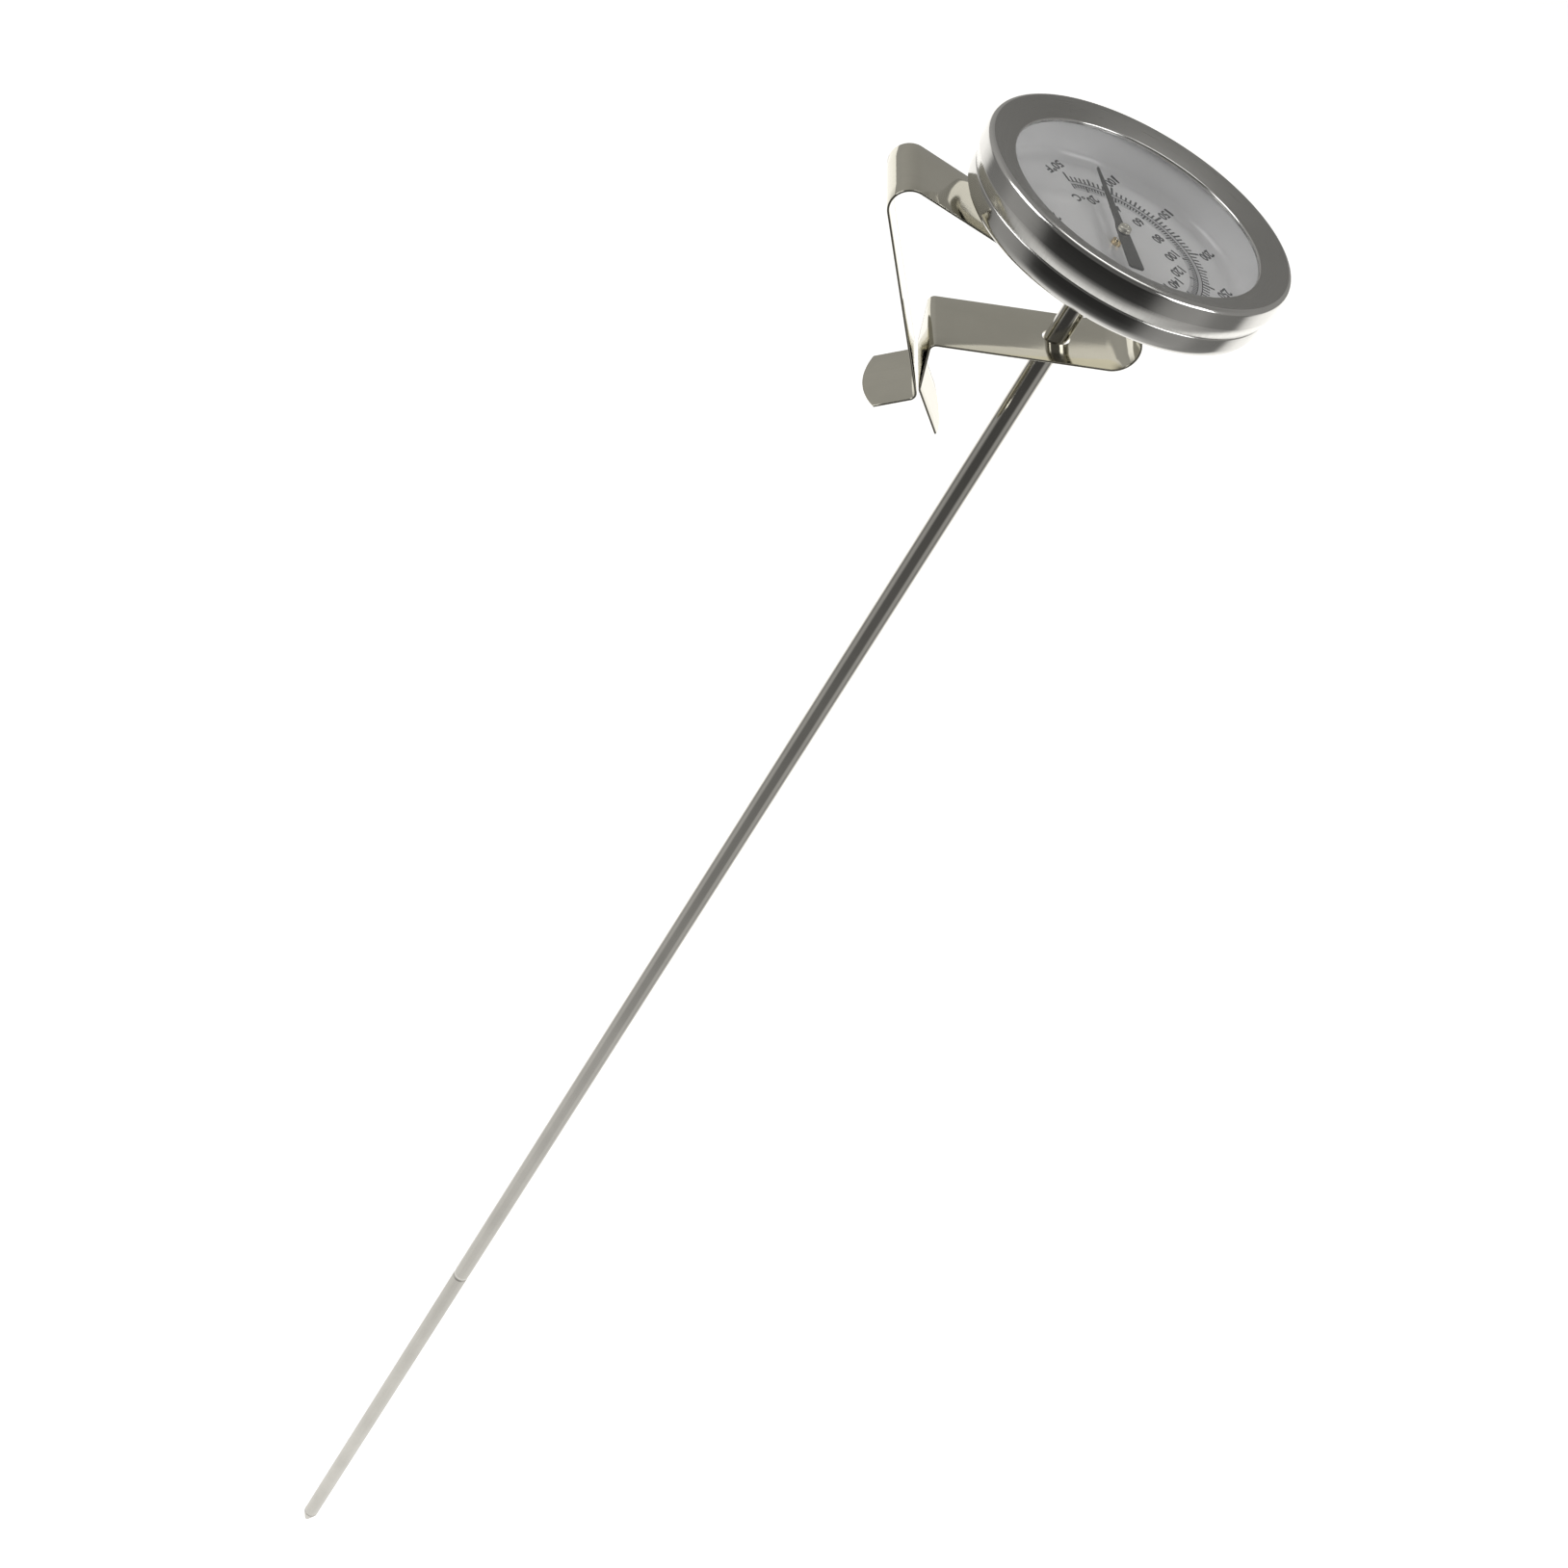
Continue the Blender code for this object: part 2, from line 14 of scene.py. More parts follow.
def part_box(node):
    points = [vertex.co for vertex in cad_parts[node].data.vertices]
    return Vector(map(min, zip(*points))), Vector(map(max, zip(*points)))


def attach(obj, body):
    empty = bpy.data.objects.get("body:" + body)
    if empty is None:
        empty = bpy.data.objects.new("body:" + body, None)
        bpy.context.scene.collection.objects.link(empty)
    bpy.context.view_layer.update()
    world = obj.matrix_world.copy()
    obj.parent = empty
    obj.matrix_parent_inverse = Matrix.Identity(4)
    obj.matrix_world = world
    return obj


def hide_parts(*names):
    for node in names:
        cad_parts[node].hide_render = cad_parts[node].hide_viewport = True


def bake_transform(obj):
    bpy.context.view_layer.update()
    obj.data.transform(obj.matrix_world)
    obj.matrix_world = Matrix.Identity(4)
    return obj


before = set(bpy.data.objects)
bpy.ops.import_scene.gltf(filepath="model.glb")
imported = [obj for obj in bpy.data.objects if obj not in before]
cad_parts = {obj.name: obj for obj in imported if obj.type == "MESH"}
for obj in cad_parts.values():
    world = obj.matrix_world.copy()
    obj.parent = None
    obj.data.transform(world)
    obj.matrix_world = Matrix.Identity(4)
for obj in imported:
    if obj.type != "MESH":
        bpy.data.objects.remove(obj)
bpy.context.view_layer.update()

MM = 0.001

# Places and sizes taken from the frame, in millimetres -----------------------------------------
def size_of(node):
    """Lowest and highest corner of a CAD node, in millimetres."""
    low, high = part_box(node)
    return low / MM, high / MM


STEM_LOW, STEM_HIGH = size_of("stem_tube")
BEZEL_LOW, BEZEL_HIGH = size_of("bezel_ring")
CASE_LOW, CASE_HIGH = size_of("case_cup")
NUT_LOW, NUT_HIGH = size_of("calibration_nut")
PLUG_LOW, PLUG_HIGH = size_of("stem_tip_plug")
BUSHING_LOW, BUSHING_HIGH = size_of("dial_bushing")
HUB_LOW, HUB_HIGH = size_of("pointer_hub")
POINTER_LOW, POINTER_HIGH = size_of("pointer")
CLIP_LOW, CLIP_HIGH = size_of("clip_lower_arm")

AXIS_X = (BEZEL_LOW.x + BEZEL_HIGH.x) / 2
FRONT = BEZEL_HIGH.z
HEAD = Vector((AXIS_X, 0.0, FRONT))
STEM_R = (STEM_HIGH.y - STEM_LOW.y) / 2
BEZEL_R = (BEZEL_HIGH.x - BEZEL_LOW.x) / 2
CASE_R = (CASE_HIGH.x - CASE_LOW.x) / 2
BEZEL_BOTTOM = BEZEL_LOW.z - FRONT
CLIP_WIDTH = CLIP_HIGH.y - CLIP_LOW.y

# Sizes of the fine shapes, in millimetres ------------------------------------------------------
RIM_STEPS = 288           # facets round the bezel and the case
ROUND_STEPS = 192         # round the window and the dial
STEM_STEPS = 64
HUB_STEPS = 48
NUT_STEPS = 72
SHARP_ANGLE = 32.0        # faces that meet at a larger angle show an edge, in degrees
NUT_SHARP_ANGLE = 20.0
ON_AXIS = 1e-6            # an outline's point nearer than this lies on the axis
MERGE_WITHIN = 0.001      # corners of a made mesh that are this close become one
EDGE_BREAK = 0.1          # the small chamfer of a cut edge
BORE_PLAY = 0.05          # between the stem and what it goes through

BEZEL_CORNER = 0.75
BEZEL_DISH = 17.0         # how steeply the front slopes in, in degrees
BEZEL_SHEET = 1.0
BEZEL_BORE_R = 23.8
OPENING_R = 19.85
OPENING_LIP = 0.3
OPENING_BOTTOM = -1.8
CRIMP_TOP = -3.0
CRIMP_R = 2.4
CRIMP_SLOPE = 18.0
CRIMP_END_R = 24.14
SIDE_END = -2.4           # where the straight side ends, above the crimp
OPENING_SEAT = 0.6        # width of the ledge under the opening's edge

CASE_TOP = -5.25
CASE_CORNER = 1.9
CASE_FLOOR = -9.2
CASE_WALL = 0.5
NECK_TOP = -3.95
NECK_INSET = 0.6          # from the case's side in to its neck
SHOULDER_R = 0.25
BOSS_R = 6.2
BOSS_FOOT_R = 0.5
BOSS_EDGE_R = 0.6

LENS_R = 23.4             # the window's thin edge, held under the bezel
LENS_TOP = -1.83
LENS_EDGE_BOTTOM = -1.95
LENS_MIDDLE = (20.8, -2.75)  # its thicker middle: radius and underside
LENS_CHAMFER = 0.04
DIAL_WALL_R = 20.9
DIAL_FLANGE = -3.9
DIAL_COVE = 1.5
DIAL_TOP = -7.95
DIAL_RIM = -1.97
DIAL_RIM_SHEET = 0.05
DIAL_SHEET = 0.35
BUSHING_PLAY = 0.03

POINTER_ANGLE = 100.0
POINTER_LENGTH = 16.9
# From the tip back to the counterweight's end: distance from the axis, half width.
POINTER_EDGE = ((16.55, 0.2), (2.6, 0.62), (0.9, 0.95), (-8.7, 1.25), (-9.0, 0.95))
POINTER_SOFTENING = 0.05

HUB_DIMPLE = ((0.0, -0.02), (0.3, -0.05), (0.36, -0.12), (0.42, -0.02))
HUB_EDGE_R = 0.25
HUB_COLLAR = 0.3          # height of the collar at its foot
HUB_SLEEVE = (0.43, 0.55)  # the sleeve under it: radius and length

TUBE_WALL = 0.4
TUBE_TOP_CHAMFER = 0.08
TUBE_END_CHAMFER = 0.05

GROOVE_Z = -297.2
GROOVE_DEPTH = 0.12
GROOVE_WIDTH = 1.6
GROOVE_STEPS = 14

SPIGOT_PLAY = 0.45        # from the stem's outside in to the plug's spigot
SPIGOT_LENGTH = 4.0
SPINDLE_SEAT_R = 0.5
WELD_R = 0.14
NOSE_R = 0.75

NUT_CHAMFER = 1.02        # where the end chamfers start, as a share of half the flats
NUT_ROUNDING = ((0.0, 0.0), (0.12, 0.1))  # from an end: along it, and out from the chamfer
NUT_CORNER_DROP = 0.42

STRIP = 0.35
EDGE_R = 0.1              # rounding of the strip's edges
SPRING_BEND = (6.1, -19.75)
SPRING_BEND_R = 3.925
TOP_BEND = (-30.9, -12.65)
TOP_BEND_R = 3.025
LOWER_ARM_SLOPE = 16.3
LONG_LEG_SLOPE = 55.9
LONG_LEG = 31.2
GRIP_AT = 29.85
GRIP_GAP = 0.3
SHORT_LEG_SLOPE = 75.0
SHORT_LEG_BEND_R = 1.0
FOLD_R = 1.05
LONG_TAB = (218.3, 6.6)
SHORT_TAB = (-46.2, 8.0)
TAB_END_R = 14.2
# The stem's holes: offset from the axis, half length and half width.
LOWER_HOLE = (0.0, 2.05, 2.0)
UPPER_HOLE = (0.35, 2.6, 2.0)
LOWER_HOLE_REACH = (-30.0, -21.0)  # heights between which the cutter stands
UPPER_HOLE_REACH = (-18.0, -11.0)

# The dial's printing: shares of the bezel's radius, and degrees from +X ------------------------
SCALE_START = 118.0       # where 50 degrees Fahrenheit stands
PER_F = 0.604             # degrees of arc for one degree Fahrenheit, clockwise
DIAL_UP = -32.0           # the dial's upright direction
FIRST_F, LAST_F = 50, 550
FIRST_C, LAST_C = 10, 286
RING_R = (0.556, 0.586)   # the two thin circles
# Ticks: values they stand at, the end away from the circle, and width in millimetres.
TICKS_F = ((50, 0.67, 0.38), (25, 0.65, 0.34), (5, 0.635, 0.29))
TICKS_C = ((20, 0.5, 0.31), (10, 0.512, 0.23), (2, 0.524, 0.23))
TICK_OVERLAP = 0.004      # how far a Fahrenheit tick reaches over its circle
RING_HALF = 0.003         # half the width of a circle
SCALE_BAND = (0.5, 0.586)
BAND_END = 0.3            # the band stops this short of the scale's ends, in degrees
BAND_STEPS = 180
NUMBERS_F = (50, 0.738)   # step between the numbers, and where they stand
NUMBERS_C = (20, 0.42)
UNIT_C = (15.0, 0.425)    # degrees before the first Celsius number, and where it stands

PRINT_SHEET = 0.02        # thickness of the ink, in millimetres
PRINT_CLEAR = 0.08        # keeps print clear of the dish's cove
DIGIT_HEIGHT = 1.65
DIGIT_PITCH = 1.25
NARROW_PITCH = 1.12       # of the numbers with three digits
DIGIT_BOLD = 0.028        # how much the strokes are widened, as a share of the type size

# Camera and floor ------------------------------------------------------------------------------
CAMERA_FROM_HEAD = Vector((-106.42, -295.97, 133.22))
CAMERA_AZIMUTH = 20.09    # of the view, from +Y towards +X
CAMERA_PITCH = -39.56
CAMERA_ROLL = 32.61
CAMERA_LENS = 52.895
SENSOR = 36.0
FLOOR_BELOW = 12.0        # from the stem's tip down to the floor
FLOOR_R = 6.0             # in metres
FLOOR_GLOW = 0.72         # how much the floor lights itself
REFLECTION_RISE = 0.0005  # from the floor up to the sheet that reflections see, in metres

# How light the table looks in reflections: by shares of a turn from the camera's side, and how
# white it is at a distance in metres from the stem's foot.
TABLE_AROUND = ((0.0, 0.03), (0.085, 0.03), (0.108, 0.05), (0.14, 0.27), (0.165, 0.34),
                (0.215, 0.36), (0.25, 0.24), (0.312, 0.2), (0.335, 0.9), (0.37, 1.25))
TABLE_NEAR = ((0.03, 1.0), (0.07, 0.92), (0.105, 0.78), (0.15, 0.66), (0.22, 0.38),
              (0.31, 0.22), (0.44, 0.13), (0.6, 0.07), (0.78, 0.04), (1.0, 0.0))
# How light the room is, by the height of the direction in which it is seen.
WALLS = ((0.0, 0.31), (0.3, 0.33), (0.55, 0.32), (0.8, 0.26), (0.93, 0.34), (0.985, 0.85))
BRIGHT_SIDE = (-0.85, 0.5, 0.2)
# Where the change of level begins and ends, as a share of the direction, and the two levels.
BRIGHT_RANGE = (0.3, 1.0, 1.0, 1.25)
DARK_RANGE = (0.0, 0.28, 1.0, 0.4)
# Soft boxes: name, azimuth from the camera's side, elevation, distance, size and radiance.
SOFTBOXES = (("softbox_right", 66.0, 24.0, 1.2, (0.7, 0.7), 3.2),
             ("softbox_left", -66.0, 24.0, 1.2, (0.7, 0.7), 3.2),
             ("softbox_top", 180.0, 78.0, 1.3, (0.6, 0.4), 1.8))


# Mesh helpers ----------------------------------------------------------------------------------
def arc(centre, radius, start, end, steps):
    """Points on an arc, angles in degrees from the first axis."""
    angles = [math.radians(start + (end - start) * i / steps) for i in range(steps + 1)]
    return [(centre[0] + radius * math.cos(a), centre[1] + radius * math.sin(a)) for a in angles]


def heading(degrees):
    """Unit vector in a plane, from an angle in degrees."""
    return Vector((math.cos(math.radians(degrees)), math.sin(math.radians(degrees))))


def piece(name, bm, finishes, sharp=SHARP_ANGLE):
    """Turn a bmesh in millimetres into a shown object with its materials."""
    bmesh.ops.scale(bm, vec=(MM, MM, MM), verts=bm.verts)
    mesh = bpy.data.meshes.new(name)
    bm.to_mesh(mesh)
    bm.free()
    for finish in finishes:
        mesh.materials.append(finish)
    mesh.shade_smooth()
    mesh.set_sharp_from_angle(angle=math.radians(sharp))
    made = bpy.data.objects.new(name, mesh)
    bpy.context.scene.collection.objects.link(made)
    return made


def lathe(bm, outline, steps, origin=HEAD, closed=True):
    """Add a turned solid: (radius, height) points down the outside and up the inside."""
    rings = []
    for radius, height in outline:
        if radius < ON_AXIS:
            rings.append([bm.verts.new(origin + Vector((0.0, 0.0, height)))])
            continue
        ring = []
        for i in range(steps):
            angle = 2 * math.pi * i / steps
            spot = Vector((radius * math.cos(angle), radius * math.sin(angle), height))
            ring.append(bm.verts.new(origin + spot))
        rings.append(ring)
    pairs = list(zip(rings, rings[1:]))
    if closed:
        pairs.append((rings[-1], rings[0]))
    for upper, lower in pairs:
        for i in range(steps):
            j = (i + 1) % steps
            corners = [upper[i % len(upper)], lower[i % len(lower)],
                       lower[j % len(lower)], upper[j % len(upper)]]
            corners = list(dict.fromkeys(corners))
            if len(corners) > 2:
                bm.faces.new(corners)


def turned(name, outline, finishes, steps=ROUND_STEPS, closed=True, origin=HEAD):
    """A turned piece of its own."""
    bm = bmesh.new()
    lathe(bm, outline, steps, origin, closed)
    return piece(name, bm, finishes)


def prism(bm, outline, bottom, top):
    """Add a flat solid: a closed (x, y) outline, anticlockwise, between two heights."""
    low = [bm.verts.new((x, y, bottom)) for x, y in outline]
    high = [bm.verts.new((x, y, top)) for x, y in outline]
    bm.faces.new(low[::-1])
    bm.faces.new(high)
    count = len(outline)
    for i in range(count):
        j = (i + 1) % count
        bm.faces.new((low[i], low[j], high[j], high[i]))


# Material helpers ------------------------------------------------------------------------------
def add(tree, kind, inputs=None, **settings):
    """Add a node, set its options, and set or link its inputs."""
    made = tree.nodes.new(kind)
    for key, value in settings.items():
        setattr(made, key, value)
    for key, value in (inputs or {}).items():
        if isinstance(value, bpy.types.NodeSocket):
            tree.links.new(value, made.inputs[key])
        else:
            made.inputs[key].default_value = value
    return made


def new_material(name):
    """An empty Principled material: (material, tree, shader)."""
    made = bpy.data.materials.new(name)
    made.use_nodes = True
    return made, made.node_tree, made.node_tree.nodes["Principled BSDF"]


def straight_grain(tree, stretch):
    """Place on the object in metres, stretched by a factor along each axis."""
    place = add(tree, "ShaderNodeTexCoord").outputs["Object"]
    return add(tree, "ShaderNodeMapping", {"Vector": place, "Scale": stretch}).outputs["Vector"]


def turned_grain(tree, across, around, along):
    """Place as (radius, angle, height) about the stem's axis, each times its own factor."""
    place = add(tree, "ShaderNodeTexCoord").outputs["Object"]
    centred = add(tree, "ShaderNodeVectorMath", {0: place, 1: (AXIS_X * MM, 0.0, 0.0)},
                  operation="SUBTRACT").outputs["Vector"]
    parts = add(tree, "ShaderNodeSeparateXYZ", {"Vector": centred}).outputs
    flat = add(tree, "ShaderNodeCombineXYZ", {"X": parts["X"], "Y": parts["Y"]}).outputs["Vector"]
    radius = add(tree, "ShaderNodeVectorMath", {0: flat}, operation="LENGTH").outputs["Value"]
    angle = add(tree, "ShaderNodeMath", {0: parts["Y"], 1: parts["X"]},
                operation="ARCTAN2").outputs["Value"]
    scaled = []
    for value, factor in ((radius, across), (angle, around), (parts["Z"], along)):
        scaled.append(add(tree, "ShaderNodeMath", {0: value, 1: factor},
                          operation="MULTIPLY").outputs["Value"])
    return add(tree, "ShaderNodeCombineXYZ",
               {"X": scaled[0], "Y": scaled[1], "Z": scaled[2]}).outputs["Vector"]


def noise(tree, vector, scale, detail=3.0, roughness=0.55):
    """Noise between 0 and 1."""
    return add(tree, "ShaderNodeTexNoise", {"Vector": vector, "Scale": scale, "Detail": detail,
                                            "Roughness": roughness}).outputs["Fac"]


def ranged(tree, value, low, high, first=0.3, last=0.7):
    """Map the middle of a noise's range to low..high."""
    return add(tree, "ShaderNodeMapRange", {"Value": value, "From Min": first, "From Max": last,
                                            "To Min": low, "To Max": high}).outputs["Result"]


def mixed(tree, factor, first, second):
    """Mix two colours."""
    made = add(tree, "ShaderNodeMix", {"Factor": factor}, data_type="RGBA")
    for index, colour in ((6, first), (7, second)):
        if isinstance(colour, bpy.types.NodeSocket):
            tree.links.new(colour, made.inputs[index])
        else:
            made.inputs[index].default_value = (*colour, 1.0)
    return made.outputs[2]


def shade(colour, factor):
    """A colour made lighter or darker."""
    return tuple(min(1.0, part * factor) for part in colour)


def metal(name, colour, roughness, grain, grain_strength, spread=0.12, blotch=90.0, edge=1.1):
    """A metal with soft tone changes, uneven polish and a directional grain.

    grain(tree) gives the stretched place that the grain's lines follow.
    """
    made, tree, shader = new_material(name)
    place = add(tree, "ShaderNodeTexCoord").outputs["Object"]
    cloud = noise(tree, place, blotch, 4.0)
    lines = noise(tree, grain(tree), 1.0, 4.0, 0.7)
    toned = mixed(tree, ranged(tree, cloud, 0.0, 1.0), shade(colour, 1 - spread / 2),
                  shade(colour, 1 + spread / 2))
    lined = mixed(tree, ranged(tree, lines, 0.0, 0.35), toned, shade(colour, 1 - spread))
    tree.links.new(lined, shader.inputs["Base Color"])
    polish = ranged(tree, lines, roughness * 0.75, roughness * 1.3)
    tree.links.new(polish, shader.inputs["Roughness"])
    bump = add(tree, "ShaderNodeBump", {"Height": lines, "Strength": grain_strength,
                                        "Distance": 0.00002})
    tree.links.new(bump.outputs["Normal"], shader.inputs["Normal"])
    shader.inputs["Metallic"].default_value = 1.0
    shader.inputs["Specular Tint"].default_value = (edge, edge, edge, 1.0)
    return made


def matt(name, colour, roughness, spread=0.06, scale=400.0, bump_strength=0.15):
    """Paint, ink or rubber: slight tone changes and a fine orange-peel surface."""
    made, tree, shader = new_material(name)
    place = add(tree, "ShaderNodeTexCoord").outputs["Object"]
    cloud = noise(tree, place, scale / 5, 3.0)
    fine = noise(tree, place, scale * 4, 2.0)
    toned = mixed(tree, ranged(tree, cloud, 0.0, 1.0), shade(colour, 1 - spread), colour)
    tree.links.new(toned, shader.inputs["Base Color"])
    tree.links.new(ranged(tree, fine, roughness * 0.9, roughness * 1.1),
                   shader.inputs["Roughness"])
    bump = add(tree, "ShaderNodeBump", {"Height": fine, "Strength": bump_strength,
                                        "Distance": 0.00001})
    tree.links.new(bump.outputs["Normal"], shader.inputs["Normal"])
    return made


def clear_lens(name):
    """A thin flat window: clear, with the gloss of its two faces and a few faint wipe marks."""
    made, tree, shader = new_material(name)
    place = add(tree, "ShaderNodeTexCoord").outputs["Object"]
    marks = noise(tree, straight_grain(tree, (300.0, 900.0, 300.0)), 1.0, 3.0)
    tree.links.new(ranged(tree, marks, 0.02, 0.06), shader.inputs["Roughness"])
    haze = noise(tree, place, 60.0, 2.0)
    tree.links.new(mixed(tree, haze, (0.93, 0.95, 0.95), (0.97, 0.98, 0.98)),
                   shader.inputs["Base Color"])
    shader.inputs["IOR"].default_value = 1.5
    shader.inputs["Alpha"].default_value = 0.06
    return made


# Finishes --------------------------------------------------------------------------------------
WARM_STEEL = (0.66, 0.64, 0.555)
COOL_STEEL = (0.66, 0.655, 0.64)


def make_finishes():
    """Every material of the object, by name."""
    def circular(tree):
        return turned_grain(tree, 9000.0, 3.0, 300.0)

    def around_side(tree):
        return turned_grain(tree, 200.0, 4.0, 5000.0)

    def pleats(tree):
        return turned_grain(tree, 300.0, 70.0, 250.0)

    def drawn(tree):
        return turned_grain(tree, 200.0, 9.0, 25.0)

    def lengthwise(tree):
        return straight_grain(tree, (55.0, 3200.0, 55.0))

    def plain(tree):
        return straight_grain(tree, (1500.0, 1500.0, 1500.0))

    return {
        # The front's colour is the bezel's steel darkened: painted shade standing in for the dark
        # room that the satin face reflects.
        "bezel_front": metal("bezel_front_satin_painted_shade", (0.385, 0.381, 0.367), 0.34, circular, 0.25,
                             spread=0.05, blotch=60.0),
        "bezel_side": metal("bezel_side_polished", COOL_STEEL, 0.13, around_side, 0.12,
                            spread=0.08),
        # The crimp's colour is the side's steel made lighter: a painted sheen for the light its
        # bead catches.
        "crimp": metal("bezel_crimp_drawn_painted_sheen", shade(COOL_STEEL, 1.2), 0.2, pleats, 0.7),
        "case": metal("case_polished", COOL_STEEL, 0.12, around_side, 0.1, spread=0.08),
        "stem": metal("stem_drawn_tube", (0.62, 0.605, 0.57), 0.12, drawn, 0.2),
        "satin": metal("satin_fittings", (0.58, 0.57, 0.55), 0.3, plain, 0.2),
        "strip": metal("clip_rolled_strip", WARM_STEEL, 0.09, lengthwise, 0.16,
                       spread=0.07, blotch=140.0),
        "brass": metal("turned_brass", (0.78, 0.62, 0.36), 0.28, plain, 0.2),
        "hub": metal("hub_plated", (0.62, 0.60, 0.52), 0.35, plain, 0.4),
        "bimetal": metal("bimetal_strip", (0.55, 0.50, 0.42), 0.35, plain, 0.3),
        "dial": matt("dial_white_paint", (0.765, 0.765, 0.77), 0.14, spread=0.03,
                     bump_strength=0.04),
        "ink": matt("dial_ink", (0.045, 0.045, 0.05), 0.5),
        "grey_ink": matt("dial_grey_ink", (0.52, 0.52, 0.53), 0.5),
        "pointer": matt("pointer_black_paint", (0.035, 0.034, 0.032), 0.42, spread=0.1),
        "rubber": matt("gasket_rubber", (0.03, 0.03, 0.03), 0.75),
        "lens": clear_lens("lens_clear"),
    }


# The head --------------------------------------------------------------------------------------
def bezel_outline():
    """Opening's edge, sloping front, corner, side, crimped edge and the bore."""
    slope = math.radians(BEZEL_DISH)
    corner = (BEZEL_R - BEZEL_CORNER, -BEZEL_CORNER)
    lip_x = OPENING_R + OPENING_LIP
    # The front is the straight line that touches the lip's arc and the corner's arc.
    drop = (OPENING_LIP - BEZEL_CORNER + math.sin(slope) * (corner[0] - lip_x)) / math.cos(slope)
    points = [(OPENING_R + EDGE_BREAK, OPENING_BOTTOM)]
    points += [(OPENING_R, OPENING_BOTTOM + EDGE_BREAK)]
    points += arc((lip_x, corner[1] - drop), OPENING_LIP, 180, 90 + BEZEL_DISH, 8)
    points += arc(corner, BEZEL_CORNER, 90 + BEZEL_DISH, 0, 18)
    points += [(BEZEL_R, SIDE_END)]
    points += arc((BEZEL_R - CRIMP_R, CRIMP_TOP), CRIMP_R, 0, -CRIMP_SLOPE, 8)
    points += [(CRIMP_END_R, BEZEL_BOTTOM + EDGE_BREAK), (CRIMP_END_R - EDGE_BREAK, BEZEL_BOTTOM)]
    points += [(BEZEL_BORE_R, BEZEL_BOTTOM), (BEZEL_BORE_R, -BEZEL_SHEET)]
    return points + [(OPENING_R + OPENING_SEAT, OPENING_BOTTOM)]


def make_bezel(finishes):
    """The bezel, with one finish for its front (the steel darkened: painted shade), one for its
    side and one for the crimp (the steel lightened: painted sheen).
    """
    made = turned("bezel", bezel_outline(),
                  [finishes["bezel_side"], finishes["bezel_front"], finishes["crimp"]],
                  RIM_STEPS)
    for face in made.data.polygons:
        reach = math.hypot(face.center.x / MM - AXIS_X, face.center.y / MM)
        looks_up = face.normal.z > 0.9
        under_side = face.center.z / MM - FRONT < CRIMP_TOP
        if looks_up and reach < BEZEL_R - BEZEL_CORNER:
            face.material_index = 1
        elif under_side and reach > CRIMP_END_R - EDGE_BREAK:
            face.material_index = 2
    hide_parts("bezel_ring")
    return made


def case_outline():
    """Neck, shoulder, side, round corner, floor and boss, then the inside."""
    boss_bottom = CASE_LOW.z - FRONT
    bore = STEM_R + BORE_PLAY
    neck = CASE_R - NECK_INSET
    shoulder = CASE_R - SHOULDER_R
    corner = (CASE_R - CASE_CORNER, CASE_FLOOR + CASE_CORNER)
    points = [(neck, NECK_TOP), (neck, CASE_TOP - 0.02)]
    points += arc((shoulder, CASE_TOP - SHOULDER_R), SHOULDER_R, 90, 0, 4)
    points += arc(corner, CASE_CORNER, 0, -90, 14)
    points += [(BOSS_R + 2.4, CASE_FLOOR)]
    points += arc((BOSS_R + 0.9, CASE_FLOOR - BOSS_FOOT_R), BOSS_FOOT_R, 90, 150, 5)
    points += arc((BOSS_R - BOSS_EDGE_R, boss_bottom + BOSS_EDGE_R), BOSS_EDGE_R, -30, -90, 5)
    points += [(bore, boss_bottom), (bore, boss_bottom + CASE_WALL)]
    points += [(BOSS_R - 0.8, boss_bottom + CASE_WALL), (BOSS_R + 0.4, CASE_FLOOR + CASE_WALL)]
    points += arc(corner, CASE_CORNER - CASE_WALL, -90, 0, 8)
    points += [(CASE_R - CASE_WALL, CASE_TOP - CASE_WALL), (neck - CASE_WALL, CASE_TOP - 0.4)]
    return points + [(neck - CASE_WALL, NECK_TOP)]


def make_case(finishes):
    """The case behind the bezel."""
    made = turned("case_shell", case_outline(), [finishes["case"]], RIM_STEPS)
    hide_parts("case_cup")
    return made


def make_lens(finishes):
    """The flat window: a thin clamped edge and a thicker middle inside the dish's wall."""
    middle_r, middle_bottom = LENS_MIDDLE
    outline = [(0.0, LENS_TOP), (LENS_R - LENS_CHAMFER, LENS_TOP)]
    outline += [(LENS_R, LENS_TOP - LENS_CHAMFER)]
    outline += [(LENS_R, LENS_EDGE_BOTTOM), (middle_r, LENS_EDGE_BOTTOM)]
    outline += [(middle_r, middle_bottom + EDGE_BREAK), (middle_r - EDGE_BREAK, middle_bottom)]
    outline += [(0.0, middle_bottom)]
    made = turned("lens_window", outline, [finishes["lens"]], closed=False)
    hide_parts("lens")
    return made


